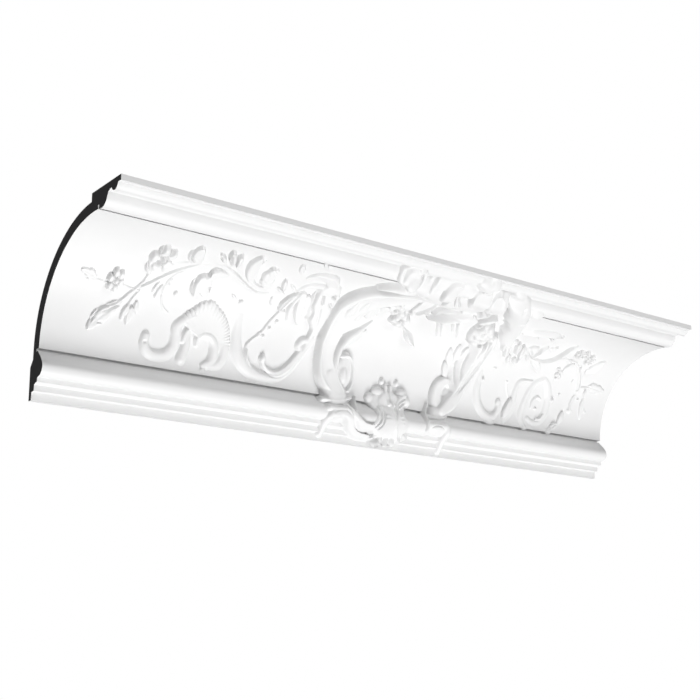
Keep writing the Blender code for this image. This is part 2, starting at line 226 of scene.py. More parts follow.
class Relief:
    """Heights of the carving over the unrolled face.

    A form covers what lies lower, and a cut goes into what is there, so their order counts.
    While the relief follows, heights are counted from the mouldings, smoothed, and not from
    the cove.
    """

    def __init__(self, length, pitch, blend):
        self.pitch = pitch
        self.blend = blend
        self.follows = False
        self.x = np.arange(0, length + pitch / 2, pitch)
        self.s = np.arange(FIRST_S, LAST_S + pitch / 2, pitch)
        self.h = np.full((len(self.s), len(self.x)), float(BARE))
        self.rest = draped(self.s)

    def window(self, low_x, high_x, low_s, high_s):
        """The part of the grid between these places, with its x and s."""
        a = np.clip(np.searchsorted(self.x, (low_x, high_x)), 0, len(self.x))
        b = np.clip(np.searchsorted(self.s, (low_s, high_s)), 0, len(self.s))
        part = (slice(b[0], b[1]), slice(a[0], a[1]))
        return part, self.x[part[1]][None, :], self.s[part[0]][:, None]

    def along(self, path, reach):
        """How the grid lies to a path: signed distance, share of length, and the path's sizes."""
        shortest = 1e-6
        lows, highs = path.min(axis=0) - reach, path.max(axis=0) + reach
        part, x, s = self.window(lows[0], highs[0], lows[1], highs[1])
        shape = (s.size, x.size)
        side = np.full(shape, FAR)
        place = np.zeros(shape)
        sizes = np.zeros((path.shape[1] - 2,) + shape)
        steps = np.hypot(*np.diff(path[:, :2], axis=0).T)
        run = np.concatenate([[0], np.cumsum(steps)])
        for a, b, step, start in zip(path[:-1], path[1:], steps, run):
            if step < shortest:
                continue
            low, high = np.minimum(a, b) - reach, np.maximum(a, b) + reach
            cols = slice(*np.searchsorted(x[0], (low[0], high[0])))
            lines = slice(*np.searchsorted(s[:, 0], (low[1], high[1])))
            dx, ds = x[:, cols] - a[0], s[lines] - a[1]
            ux, us = (b[:2] - a[:2]) / step
            t = np.clip((dx * ux + ds * us) / step, 0, 1)
            away = np.hypot(dx - t * step * ux, ds - t * step * us)
            sign = np.where(dx * us - ds * ux > 0, -1, 1)
            view = side[lines, cols]
            closer = away < np.abs(view)
            view[closer] = (away * sign)[closer]
            place[lines, cols][closer] = ((start + t * step) / run[-1])[closer]
            for k in range(len(sizes)):
                value = a[k + 2] + (b[k + 2] - a[k + 2]) * t
                sizes[k][lines, cols][closer] = value[closer]
        return part, side, place, sizes

    def raise_to(self, part, h):
        """Lifts the grid to these heights where they stand higher."""
        if self.follows:
            h = h + self.rest[part[0]][:, None]
        self.h[part] = soft_max(self.h[part], h, self.blend)

    def cut(self, part, depth):
        """Lowers the grid by these depths."""
        self.h[part] -= depth

    def strap(self, knots, section=rounded, foot=FOOT):
        """A band through the knots (x, s, height of its back, half width)."""
        path = smooth_path(knots)
        part, side, _, (top, half) = self.along(path, path[:, 3].max() + 2)
        u = side / np.maximum(half, 0.2)
        h = foot + (top - foot) * section(np.clip(u, -1, 1))
        self.raise_to(part, h - FALL * np.maximum(np.abs(side) - half, 0))

    def straps(self, *paths, **more):
        """Several bands of one section, each through its own knots."""
        for knots in paths:
            self.strap(knots, **more)

    def groove(self, knots):
        """A hollow line through the knots (x, s, depth, half width), shallow at its ends."""
        reach, run_out, sharpness = 2.2, 8, 1.5
        path = smooth_path(knots)
        part, side, place, (depth, half) = self.along(path, path[:, 3].max() * reach)
        ends = np.clip(np.minimum(place, 1 - place) * run_out, 0, 1)
        across = (side / np.maximum(half, 0.2)) ** 2
        self.cut(part, depth * ends * np.exp(-across * sharpness))

    def grooves(self, *paths):
        """Several hollow lines, each through its own knots."""
        for knots in paths:
            self.groove(knots)

    def scores(self, *lines, depth, half):
        """Grooves of one depth and half width, each through its places (x, s)."""
        for line in lines:
            self.groove([(x, s, depth, half) for x, s in line])

    def ridge(self, knots):
        """A raised line, over what is there, through the knots (x, s, height, half width)."""
        self.groove([(x, s, -h, half) for x, s, h, half in knots])

    def stem(self, places, top, half):
        """A thin stem through the places (x, s)."""
        self.strap([(x, s, top, half) for x, s in places])

    def dome(self, x, s, half_x, half_s, top, foot=FOOT, fullness=0.5):
        """A boss with its half sizes. A lower fullness gives a flatter back."""
        reach = max(half_x, half_s) + 1
        part, gx, gs = self.window(x - reach, x + reach, s - reach, s + reach)
        away = np.sqrt(((gx - x) / half_x) ** 2 + ((gs - s) / half_s) ** 2)
        h = foot + (top - foot) * np.maximum(1 - away**2, 0) ** fullness
        self.raise_to(part, h - DOME_FALL * np.maximum(away - 1, 0) * min(half_x, half_s))

    def domes(self, *rows, **more):
        """Several bosses, each as (x, s, half_x, half_s, top)."""
        for row in rows:
            self.dome(*row, **more)

    def dimple(self, x, s, radius, depth):
        """A small round hollow."""
        reach = 3 * radius
        part, gx, gs = self.window(x - reach, x + reach, s - reach, s + reach)
        self.cut(part, depth * np.exp(-((gx - x) ** 2 + (gs - s) ** 2) / radius**2))

    def dimples(self, *rows):
        """Several hollows, each as (x, s, radius, depth)."""
        for row in rows:
            self.dimple(*row)

    def leaf(self, midrib, width, lobes=0, notch=0.3, lean=0.5, cup=0.0, vein=0.5, rib=0.5,
             full=0.6, widest=0.45, foot=FOOT, roll=0.0):
        """A leaf along its midrib, knots (x, s, height) from base to tip.

        width is the half width, widest its place along the midrib, and a lower full makes the
        outline blunter. Lobes scallop the edge by notch, and lean towards the tip. cup lifts
        the edges, vein cuts between the lobes, rib cuts the midrib (or raises it, below 0)
        and roll tilts the leaf about its midrib.
        """
        edge_power, vein_power, rib_share, rib_run_out = 6, 6, 0.13, 3
        path = smooth_path(midrib, 8)
        part, side, place, (top,) = self.along(path, width + 2)
        power = np.log(0.5) / np.log(widest)
        t = np.clip(place, 0, 1) ** power
        half = width * np.sin(pi * np.clip(t, 0.0, 1)) ** full
        u = np.abs(side) / np.maximum(half, 0.3)
        phase = (place * lobes - lean * np.minimum(u, 1.5)) % 1.0 if lobes else 0.5
        edge = 1 - notch * np.abs(2 * phase - 1) ** 2 if lobes else 1.0
        v = np.abs(side) / np.maximum(half * edge, 0.3)
        body = np.maximum(1 - np.clip(v, 0, 1) ** edge_power, 0) ** 0.5
        swell = 1 + cup * (np.minimum(v, 1) ** 2 - 0.4) + roll * np.clip(side / width, -1, 1)
        h = foot + (top * swell - foot) * body
        if lobes:
            h -= vein * np.abs(2 * phase - 1) ** vein_power * np.clip(u * 2, 0, 1)
        midrib_line = np.exp(-((side / max(width * rib_share, 0.6)) ** 2))
        h -= rib * midrib_line * np.clip((1 - place) * rib_run_out, 0, 1)
        self.raise_to(part, h - FALL * np.maximum(np.abs(side) - half * edge, 0))

    def petal(self, base, tip, width, top, vein=0.4, **more):
        """A plain leaf, petal or bud from its base to its tip, both (x, s). width is full."""
        x, s = (base[0] + tip[0]) / 2, (base[1] + tip[1]) / 2
        knots = [(*base, top * 0.8), (x, s, top), (*tip, top * 0.7)]
        self.leaf(knots, width / 2, rib=vein, **more)

    def petals(self, *rows, **more):
        """Several petals, each as (base, tip, width, top)."""
        for row in rows:
            self.petal(*row, **more)

    def blossom(self, x, s, radius, petals, top, turn=0.0, squeeze=1.0, boss=0.28, fold=0.3):
        """Cupped petals round a boss, parted by folds. boss and fold are shares.

        squeeze is the radius down the face over the radius along it.
        """
        scallop, cup_floor, ring_depth, ring_place, ring_width = 0.36, 0.72, 0.42, 1.3, 0.36
        reach = radius * max(squeeze, 1) + 2
        part, gx, gs = self.window(x - reach, x + reach, s - reach, s + reach)
        dx, ds = gx - x, (gs - s) / squeeze
        away = np.hypot(dx, ds) / radius
        angle = (np.arctan2(ds, dx) - radians(turn)) * petals / tau
        phase = np.abs((angle % 1.0) - 0.5) * 2
        edge = 1 - scallop * phase**2.4
        v = away / edge
        cup = cup_floor + (1 - cup_floor) * np.clip(v, 0, 1) ** 2
        side = np.maximum(1 - np.clip(v, 0, 1) ** 7, 0) ** 0.5
        h = FOOT + (top * cup * (1 - 0.12 * phase**2) - FOOT) * side
        h -= fold * top * phase**10 * np.clip(away * 2, 0, 1)
        centre = np.maximum(1 - (away / boss) ** 2, 0) ** 0.5
        h = np.maximum(h, np.where(away < boss, top * (0.7 + 0.3 * centre), BARE))
        ring = ((away - boss * ring_place) / (boss * ring_width)) ** 2
        h -= ring_depth * top * np.exp(-ring)
        self.raise_to(part, h - FALL * radius * np.maximum(v - 1, 0))

    def fan(self, x, s, inner, outer, start, end, flutes, top):
        """A shell spread from a centre, fluted at its rim. Angles are in degrees.

        outer holds its reach at even steps, and top its height where it starts and ends.
        """
        flute_depth, flute_length, flute_run_out = 1.5, 9, 4
        reach = max(outer) + 2
        part, gx, gs = self.window(x - reach, x + reach, s - reach, s + reach)
        angle = np.degrees(np.arctan2(gs - s, gx - x))
        share = ((angle - start) % 360) / (end - start)
        away = np.hypot(gx - x, gs - s)
        rim = np.interp(share, np.linspace(0, 1, len(outer)), outer)
        phase = np.abs((share * flutes) % 1.0 - 0.5) * 2
        rim = rim * (1 - 0.04 * phase**2)
        t = np.clip((away - inner) / np.maximum(rim - inner, 1), 0, 1)
        top = np.interp(share, (0, 1), top)
        flute = np.clip((away - rim + flute_length) / flute_run_out, 0, 1)
        h = top * (0.72 + 0.28 * t) - flute_depth * flute * phase**4
        side = np.maximum(1 - t**14, 0) ** 0.5
        h = FOOT + (h - FOOT) * side
        miss = np.maximum(np.maximum(away - rim, inner - away), 0)
        miss = miss + np.where((share < 0) | (share > 1), FAR, 0)
        self.raise_to(part, h - FALL * miss)


# The carving, group by group, each form over the ones before it. Places are (x, s), knots
# of straps are (x, s, top, half width), and those of grooves are (x, s, depth, half width)

def left_sprays(carve):
    """Flowers, leaves and buds on thin stems over the left half of the cove."""
    carve.strap([(x, s, top, 1.6) for x, s, top in (
        (89, 96, 2.6), (97, 89, 3), (107, 79, 3), (118, 68, 3), (133, 57, 2), (147, 49, 0.6),
        (163, 48, 0.8), (177, 53, 2.4), (192, 62, 2.8), (205, 69, 2.6), (217, 73, 2),
        (230, 71, 1.4))])
    carve.stem([(40, 96), (51, 97), (60, 97), (72, 97), (88, 99)], 1.4, 1.4)
    carve.stem([(92, 78), (91, 87), (86, 97)], 2.4, 1.5)
    carve.stem([(127, 65), (120, 73), (116, 82), (115, 94), (117, 104), (121, 111), (128, 116)],
               1.5, 1.4)
    carve.strap([(112, 60, 1.6, 2.4), (122, 56, 1.8, 2.4), (134, 51, 1.2, 2.4)])
    # Leaf at the far end, and the flower beside it
    carve.leaf([(42, 95.5, 2), (34, 91, 3), (24, 88, 2.2)], 5.5, lobes=2, notch=0.3, rib=0.9)
    carve.petal((40, 96), (33, 98), 4, 1.8)
    carve.blossom(61, 92, 9.5, 6, 7.5, turn=-80, squeeze=1.5, boss=0.22, fold=0.5)
    # The larger flower on its stalk
    carve.blossom(95.5, 54, 14, 5, 8.5, turn=-75, squeeze=1.35, boss=0.2, fold=0.5)
    carve.leaf([(92, 78, 3.4), (89, 70, 4.6), (86, 60, 3)], 4.5, rib=0.8)
    carve.petal((101, 60), (106, 73), 6, 3)
    carve.dimples((93, 53, 2.4, 7), (93, 57, 2.4, 7), (93, 60.5, 2.4, 7))
    # Lobed leaf that hangs to the left, with the sprig and fronds beside it
    carve.stem([(85, 98), (80, 105), (74, 113)], 2.8, 1.8)
    carve.leaf([(80, 106, 2.4), (69, 120, 3.8), (57, 132, 4.2), (46, 147, 3)], 8.5, lobes=3,
               notch=0.2, lean=0.6, vein=1.0, rib=1.0, widest=0.62, full=0.7)
    carve.stem([(90, 99), (86, 108), (83, 117)], 2.4, 1.5)
    carve.petals(((84, 115), (79, 132), 6.5, 3.8), ((88, 116), (86, 136), 7, 4),
                 ((91, 110), (94, 124), 5.5, 3.4), ((107, 85), (104, 98), 4, 2.8),
                 ((112, 87), (108, 104), 4, 2.8), ((118, 78), (119, 86), 4, 2.6))
    carve.dome(129.5, 94, 2.6, 3.2, 3.2)
    # Leaves that spring from the main stem
    carve.leaf([(134, 54, 1.5), (127, 42, 4.6), (124, 24, 4.4)], 8.5, rib=0.0)
    carve.petal((137, 54), (136, 43), 4, 1.8)
    carve.petals(((161, 43), (148, 28), 6, 4.6), ((168, 42), (156, 18), 8, 7.4),
                 ((174, 43), (168, 21), 8, 7.4), vein=1.0, widest=0.55)
    carve.leaf([(178, 61, -1), (168, 60, 3.2), (153, 60, 6.4)], 8, full=0.35, widest=0.75, rib=0.0)
    carve.leaf([(160, 65, 4.5), (150, 70, 6), (147, 80, 6), (150, 93, 3.4)], 6.5, rib=0.0,
               full=0.45)
    carve.leaf([(156, 69, 0.5), (157, 79, 3.4), (160, 90, 6)], 8, full=0.4, rib=0.0)
    # Deep lines cut along the upper edges of the leaves and petals
    carve.scores([(121, 24), (120, 34), (123, 44), (131, 51)], [(149, 31), (154, 38)],
                 [(157, 22), (160, 30), (164, 37)], [(166, 26), (168, 33), (171, 40)],
                 [(144, 68), (142.5, 76), (145, 86), (148, 92)], [(161, 77), (164, 83)],
                 [(98, 47), (101, 42), (102, 38)], [(89, 45), (90, 37)],
                 [(55, 79), (52, 88), (51, 97), (53, 105)], depth=5, half=1.1)
    carve.scores([(161, 53), (154, 56), (151, 63), (153, 67)],
                 [(88, 35), (83, 46), (82, 55), (85, 65), (89, 75)], depth=3.6, half=1.1)
    carve.scores([(80, 101), (70, 115), (55, 124), (49, 136), (46, 144)], depth=2.6, half=1.1)
    carve.scores([(57, 128), (66, 122), (74, 117)], [(54, 139), (61, 138)], depth=2.4, half=1.1)
    carve.leaf([(203, 62, 2.2), (196, 48, 5), (190, 32, 6), (188, 14, 4.4)], 7, rib=0.0)
    carve.stem([(197, 24), (198, 40), (201, 52), (206, 60), (213, 64), (226, 65)], 2.4, 1.5)
    carve.leaf([(227, 65, 2), (218, 52, 5), (213, 31, 5)], 8.5, lobes=3, notch=0.2, rib=0.0,
               vein=1.4)
    carve.petal((222, 42), (218, 32), 5, 3.6)
    carve.petal((248, 32), (236, 12), 7, 3, vein=0.6)
    carve.petal((245, 62), (237, 46), 6.5, 4.6, vein=1.0)
    carve.petals(((236, 60), (249, 68), 4, 2.6), ((248, 52), (261, 62), 3.5, 2))
    carve.petal((250, -7), (265, 10), 5, 3.4, foot=-8)
    carve.petal((191, 81), (199, 87), 3, 2)
    carve.dome(205, 88, 3, 2.8, 3.2)


def left_leaves(carve):
    """The arched leaf, the folded leaf on its long stem and the bell flower."""
    carve.leaf([(258, 38, 1), (268, 28, 3.5), (283, 28, 5), (294, 39, 4.5), (302, 51, 1.5)], 8,
               roll=-0.4, rib=0.0, widest=0.5)
    carve.strap([(262, 58, 2.4, 3), (270, 48, 3.4, 4.5), (284, 45, 3.4, 4.5), (298, 50, 2, 3)],
                soft)
    carve.strap([(263, 62, 4, 1.6), (255, 70, 5, 1.5), (251.5, 79, 5, 1.5), (252.5, 87, 4.6, 1.6),
                 (259, 88, 4, 2)])
    carve.strap([(268, 60, 4, 3), (264.5, 72, 5, 3.4), (264, 84, 4.6, 3.2), (268, 97, 2.4, 2)],
                soft)
    carve.leaf([(270, 58, 4), (273, 74, 5), (277, 87, 4.6), (284, 101, 2.4)], 5.5, rib=0.6,
               full=0.5)
    carve.leaf([(276, 60, 4), (280, 74, 4.2), (286, 92, 2)], 5, rib=0.6)
    carve.stem([(263, 66), (259, 78), (254.5, 90), (248, 105), (243, 117), (234, 127), (229, 134),
                (229, 142)], 2.6, 1.8)
    carve.petal((241, 84), (237, 74), 4.5, 2.4)
    carve.domes((257, 102, 2.6, 2.6, 2.8), (251, 111, 2.2, 2.2, 2.8), (241, 120, 3.2, 3.2, 2.8),
                (246.5, 121, 2.2, 2.2, 2.8))
    # Bell flower: flared mouth above, body that narrows into the stem
    carve.strap([(304, 121, 5, 6), (306, 112, 5.6, 6.2), (306, 104, 6, 6.4), (305.5, 96, 7, 8.5),
                 (302, 86, 8, 14), (298, 74, 8, 16), (297, 62, 8, 17), (296, 51, 7, 15)],
                flattened)
    carve.petal((299, 66), (311, 51), 8, 6.5, vein=0.8, full=0.45)
    for a, b, depth in (((289, 52), (295, 66), 5), ((299, 49), (307, 55), 6),
                        ((301, 60), (311, 70), 5), ((296, 70), (304, 96), 2.4),
                        ((306, 104), (305, 119), 1.6)):
        carve.groove([(*a, depth, 1.5), ((a[0] + b[0]) / 2, (a[1] + b[1]) / 2, depth, 1.6),
                      (*b, depth * 0.6, 1.4)])
    carve.dimple(303, 51, 2.6, 6)
    carve.scores([(283, 48), (283, 56), (284.5, 64), (286, 72), (290, 78), (291.5, 84), (292, 91),
                  (297, 98), (300.5, 103), (300, 112)], depth=4, half=1.2)


def left_scrolls(carve):
    """The hooked scroll, the shell fan and the broad double scroll under the sprays."""
    # Hook at the far left: a wide U, with a stepped inner edge
    carve.strap([(110, 143, 4.2, 5.5), (109.5, 151, 4.2, 6), (114, 158.5, 3.8, 6.8),
                 (125, 161.5, 3.4, 7), (136, 158, 3.4, 7.2), (143, 149, 3.8, 7.2),
                 (144, 138, 4.4, 7), (143, 128, 5, 6.6), (149, 120, 5.4, 6), (158, 113, 5.6, 4)],
                soft)
    carve.dimples((109, 149.5, 1.6, 2.4), (119.5, 155, 1.6, 2))
    # Fan, the ridge on its left and the round-ended tongue below it
    carve.fan(178, 141, 11, (39, 42, 43, 48, 49, 42, 39, 36, 34, 32, 32, 32, 32.5), -150, 14, 24,
              (6, 2))
    carve.straps([(161, 124, 5, 2.4), (154, 131, 5, 2.8), (152, 142, 4.4, 3.4)],
                 [(156, 131, 4.2, 4.4), (157, 144, 4.2, 5.8), (155, 155, 4.4, 6.8),
                  (153.5, 161, 4.4, 7)], section=soft)
    # Inner curl, and the root that carries the fan
    carve.straps([(169, 144, 3.6, 2.6), (168.5, 137, 4.6, 3.6), (174, 131.5, 5.2, 4.4),
                  (183, 132.5, 5, 5.4), (190, 140, 4.6, 6.2), (191, 151, 4.2, 6.8),
                  (188, 159, 3.8, 6.4), (180, 163.5, 2.8, 4)],
                 [(203, 141, 3, 7), (202, 152, 3.6, 7), (197, 160, 3.6, 6.6), (186, 164, 3, 4)],
                 section=soft)
    carve.dome(180, 168, 3.4, 3, 2.2)
    # Broad double scroll
    carve.straps([(212, 104, 0.6, 4), (213, 118, 2, 6), (216, 134, 4, 7.6), (222, 148, 4.6, 8.6),
                  (234, 159, 4.6, 8.6), (250, 164, 4.4, 7), (264, 164.5, 4.4, 6.4),
                  (276, 160.5, 4.4, 6.4), (287, 151, 4.6, 6.4), (296, 138, 5, 6.4),
                  (302, 125, 5.4, 6), (306, 112, 5.4, 5)],
                 [(251.5, 144, 4.6, 3.6), (254, 152, 4.2, 3.8), (262, 158, 4, 4), (272, 158, 4, 4),
                  (283, 150.5, 4.2, 4), (291, 140.5, 4.6, 4), (297, 130, 5, 4)],
                 [(229.5, 139, 4.6, 1.8), (231, 147, 5.4, 2.2), (237, 156, 4.6, 2)], section=soft)
    carve.dome(251.5, 145, 4.2, 6.2, 5.6)
    carve.strap([(305, 116, 5.2, 5), (297, 117, 5.2, 4.6), (293, 123, 4.8, 4.4),
                 (297, 130, 4.2, 4)], soft)
    carve.groove([(252, 153, 1.2, 1.1), (261, 162, 1.2, 1.1), (274, 163, 1.2, 1.1),
                  (286, 155, 1.2, 1.1), (294, 143, 1.2, 1.1), (300, 130, 0.8, 1.1)])


def cartouche(carve):
    """The two tall scrolling arms of the centrepiece, and the feet they stand on."""
    # Left arm: a broad band with a gutter, from its volute up to the garland
    carve.strap([(352, 168, 12, 9), (343, 160, 12, 13), (335, 149, 11.5, 13.5),
                 (330, 137, 11.5, 11.5), (327.5, 124, 11.5, 11), (327, 110, 11.5, 12.5),
                 (327.5, 95, 12, 13.5), (328, 80, 12, 15), (331, 63, 12, 17), (339, 47, 12.5, 18),
                 (352, 34, 12.5, 18), (368, 25, 12.5, 15.5), (384, 19, 11.5, 11.5),
                 (398, 15, 9, 6)], channelled)
    carve.strap([(338, 18, 7, 1.5), (346, 11, 9, 4), (356, 6, 10.5, 6), (366, 3, 11, 7),
                 (376, 2, 10, 7)], soft)
    carve.groove([(341, 20, 4, 1.1), (349, 17, 7, 1.2), (358, 13, 7, 1.2), (366, 11, 5, 1.1)])
    # Its scalloped lower lobes
    for x, s, half, top in ((333, 66, 8, 12.5), (345, 62, 8, 12), (358, 57, 8.5, 11.5),
                            (371, 52, 8, 10.5)):
        midrib = [(x - 2, s - 22, top), (x, s, top), (x + 3, s + 15, top - 4)]
        carve.leaf(midrib, half, rib=0.8, widest=0.62, full=0.5)
    # Inner band, the leaf at its tip, and the egg that the volute closes on
    carve.strap([(360, 166, 10, 5), (350, 156, 11, 6), (345, 142, 11.5, 6), (344, 128, 11, 6),
                 (346, 114, 10.5, 6), (352, 104, 8.5, 5.5), (361, 96, 6, 5), (368, 88, 4.2, 3.8),
                 (374, 78, 2.4, 2)], soft)
    carve.leaf([(348, 116, 6.5), (357, 108, 5.5), (366, 100, 4), (374, 90, 2)], 5.5, rib=0.6)
    carve.dome(359, 146, 13, 22, 9, fullness=0.3)
    carve.strap([(352, 126, 7, 3), (360, 124, 9, 3.4), (367, 132, 10, 3.8), (370, 144, 10.4, 4),
                 (370, 156, 10.4, 4.4), (365, 166, 11, 4.4)], soft)
    carve.dome(357, 148, 8.5, 16, 11.6, fullness=0.5)
    # Left foot: cuff, drop, leg and arch
    carve.strap([(341, 150, 11.5, 13), (345, 162, 12, 15), (349, 171, 12.2, 18),
                 (350, 176, 12.2, 19)], flattened, -4)
    carve.strap([(331, 180, 10.4, 5), (344, 180, 12.4, 6.5), (357, 178, 12.4, 6.5),
                 (369, 174, 11, 4.6)], soft, -4)
    carve.follows = True
    carve.strap([(380, 170, 5, 1.8), (377, 180, 6, 2.8), (374, 190, 6, 3.2)], rounded, -4)
    carve.straps([(340, 188, 4.4, 7), (351, 188, 5.4, 8), (362, 187, 6, 7)],
                 [(347, 190, 4.4, 8), (342, 199, 3.6, 6.6), (340.5, 208, 3.2, 6),
                  (340, 216, 3, 5.4)], section=soft, foot=-4)
    carve.straps([(347, 196, 5, 5), (356, 193, 5.4, 5.4), (364, 196, 5.4, 5.4), (371, 203, 5, 5),
                  (379, 209, 4.6, 4.6), (390, 212.5, 4.6, 4.2), (405, 213.5, 4, 3.6)],
                 [(360, 183, 6.4, 6), (369, 191, 6.2, 6), (379, 199, 5.8, 5.6), (391, 204, 5.4, 5),
                  (402, 203.5, 5, 4.4)], section=flattened, foot=-4)
    carve.groove([(344, 187, 0.8, 1), (355, 184, 1.4, 1), (365, 187, 1.6, 1.1),
                  (370, 195, 1.8, 1.1), (377, 202, 1.8, 1.1), (388, 208.5, 1.6, 1.1),
                  (401, 209, 1.2, 1)])
    carve.follows = False
    # Right arm, with its two scored lines
    carve.strap([(508, 170, 12, 9), (519, 160, 12, 12), (528, 148, 12, 10.5), (536, 131, 12, 9.5),
                 (542, 113, 12, 10.5), (546, 96, 12.5, 11), (549, 78, 13, 10), (549, 66, 12, 7),
                 (548, 58, 10, 5)], flattened)
    carve.grooves([(541, 48, 2, 1.3), (545, 72, 2.4, 1.3), (546, 96, 2.4, 1.3),
                   (541, 114, 2.2, 1.3), (535, 128, 2.2, 1.3), (526, 143, 2, 1.3),
                   (518, 154, 1.4, 1.3)],
                  [(547, 58, 2.2, 1.5), (549, 80, 2.8, 1.5), (548, 103, 2.8, 1.5),
                   (541, 122, 2.6, 1.5), (531, 140, 2.4, 1.4), (524, 151, 1.4, 1.3)])
    # Its volute, a broad ring round a low boss
    carve.strap([(526, 156, 9.6, 9), (516, 164, 8.4, 10), (504, 161, 7.2, 10),
                 (501, 150, 6.6, 9.4), (504, 139, 6.4, 9), (513, 133, 6.4, 7), (519, 139, 6, 4.6)],
                flattened)
    carve.dome(516, 150, 8, 11, 6.6, fullness=0.35)
    # Acanthus on its inner side, low at its tips
    carve.strap([(517, 147, 11, 11), (521, 131, 11.6, 14), (526, 113, 11.6, 15),
                 (530, 96, 11.6, 14), (535, 80, 9, 9)], banked)
    carve.petals(((510, 112), (502, 90), 10, 3), ((517, 106), (513, 83), 10, 3.4),
                 ((526, 102), (526, 84), 10, 3.6), ((512, 130), (502, 108), 9, 4), vein=0.0)
    carve.scores([(507, 98), (511, 116), (518, 138)], [(518, 90), (519, 112), (523, 136)],
                 [(529, 88), (527, 108), (528, 128)], depth=1.8, half=1.1)
    # Right foot
    carve.strap([(523, 150, 10.4, 10), (515, 161, 8.8, 11), (508, 170, 8, 13),
                 (504, 176, 8.2, 15)], flattened, -4)
    carve.strap([(487, 180, 7, 5), (497, 180, 8.8, 6.4), (509, 179, 9, 6.4), (516, 176, 8.4, 4.6)],
                soft, -4)
    carve.follows = True
    carve.straps([(489, 163, 4, 2), (486, 174, 4.4, 3.4), (484, 186, 3.4, 4), (484, 198, 2.4, 4)],
                 [(490, 190, 3.4, 9), (500, 191, 4, 10), (510, 190, 4.4, 9)],
                 [(511, 186, 4.6, 7), (515.5, 197, 4.2, 6.6), (516, 208, 3.6, 6),
                  (517, 217, 3, 5)], section=soft, foot=-4)
    carve.grooves([(486, 197, 0.8, 1), (494, 191.5, 1.4, 1), (504, 191.5, 1.4, 1),
                   (511, 196, 0.8, 1)],
                  [(486, 203, 0.8, 1), (491, 200, 1.2, 1), (500, 200, 0.8, 1)])
    carve.follows = False


def crown(carve):
    """The shield between the feet: lobes, centre rib, a curl at the left, a leaf at the right and
    petals below.
    """
    carve.strap([(427, 158, 4.4, 6), (427, 162, 5.2, 19), (427, 168, 6.2, 28),
                 (428, 177, 8.4, 25)], plated)
    carve.strap([(428, 176, 8.2, 22), (428, 184, 10.8, 26), (429, 194, 12, 30), (430, 203, 9, 30),
                 (431, 211, 2.6, 20), (431, 216, -3, 12)], plated, -9)
    # Lobes along the top, with two balls
    carve.domes((402, 168, 7, 7, 5.6), (413, 160, 10, 6.5, 6.2), (448, 158, 9, 6.5, 6.8),
                (456, 166, 6.5, 7, 7), fullness=0.35)
    carve.domes((418, 147, 4, 4.6, 4.2), (440, 146, 3.8, 4.4, 4.2))
    for x in (423, 430):
        carve.strap([(x, 152, 5.6, 3.2), (x, 162, 7.4, 3.4), (x + 3, 174, 10.6, 3.2)], flattened)
    carve.groove([(426.5, 148, 1.6, 1), (427, 160, 1.8, 1), (429, 174, 1.2, 1)])
    carve.dimple(437, 157, 1.8, 3)
    # Leaf on the right, with two scored lines
    carve.leaf([(437, 178, 10.6), (445, 168, 8.8), (453, 158, 7)], 8, rib=0.0)
    carve.grooves([(439, 171, 1.4, 1), (445, 167, 2, 1), (452, 162, 1.2, 1)],
                  [(440, 176, 1.4, 1), (445, 172, 2, 1), (450, 168, 1.2, 1)])
    # Centre rib, forked at its head, with short bars beside it
    carve.straps([(427, 172, 11, 2.4), (431, 181, 12.4, 2.8), (434, 193, 13.4, 3),
                  (437, 203, 10.4, 3), (441, 211, 4, 2.6)],
                 [(439, 174, 11, 2), (437, 184, 12.4, 2.2), (435, 193, 13.4, 2.4)],
                 section=soft, foot=2)
    for a, b in (((418, 188.5), (426, 187.5)), ((418, 193), (426, 192)), ((442, 187), (448, 186)),
                 ((442, 192), (448, 191)), ((443, 196), (448, 195))):
        carve.ridge([(*a, 0.7, 1.2), (*b, 0.7, 1.2)])
    # Left curl, scored by three lines
    carve.strap([(409, 190, 11.6, 6), (404, 199, 9.4, 6.5), (396, 204, 7, 4)], soft, 0)
    carve.scores([(409, 176), (413, 184), (413, 192), (410, 198), (404, 204)],
                 [(416, 178), (418, 186), (417, 194), (414, 201), (408, 206)],
                 [(404, 178), (407, 187), (404, 195), (398, 202)], depth=2.4, half=1.1)
    # Petals at the foot
    carve.petals(((415, 204), (406, 214), 10, 3.6), ((421, 206), (416, 220), 10, 2.4),
                 ((427, 206), (427, 221), 10, 1.5), ((434, 206), (438, 220), 10, 1.5),
                 ((441, 205), (447, 217), 10, 3), ((448, 202), (457, 211), 11, 5),
                 vein=0.5, foot=-16)
    carve.scores([(421, 209), (422, 215), (425, 221)], [(431, 210), (433, 220)],
                 [(414, 213), (418, 220)], depth=1.6, half=1.0)


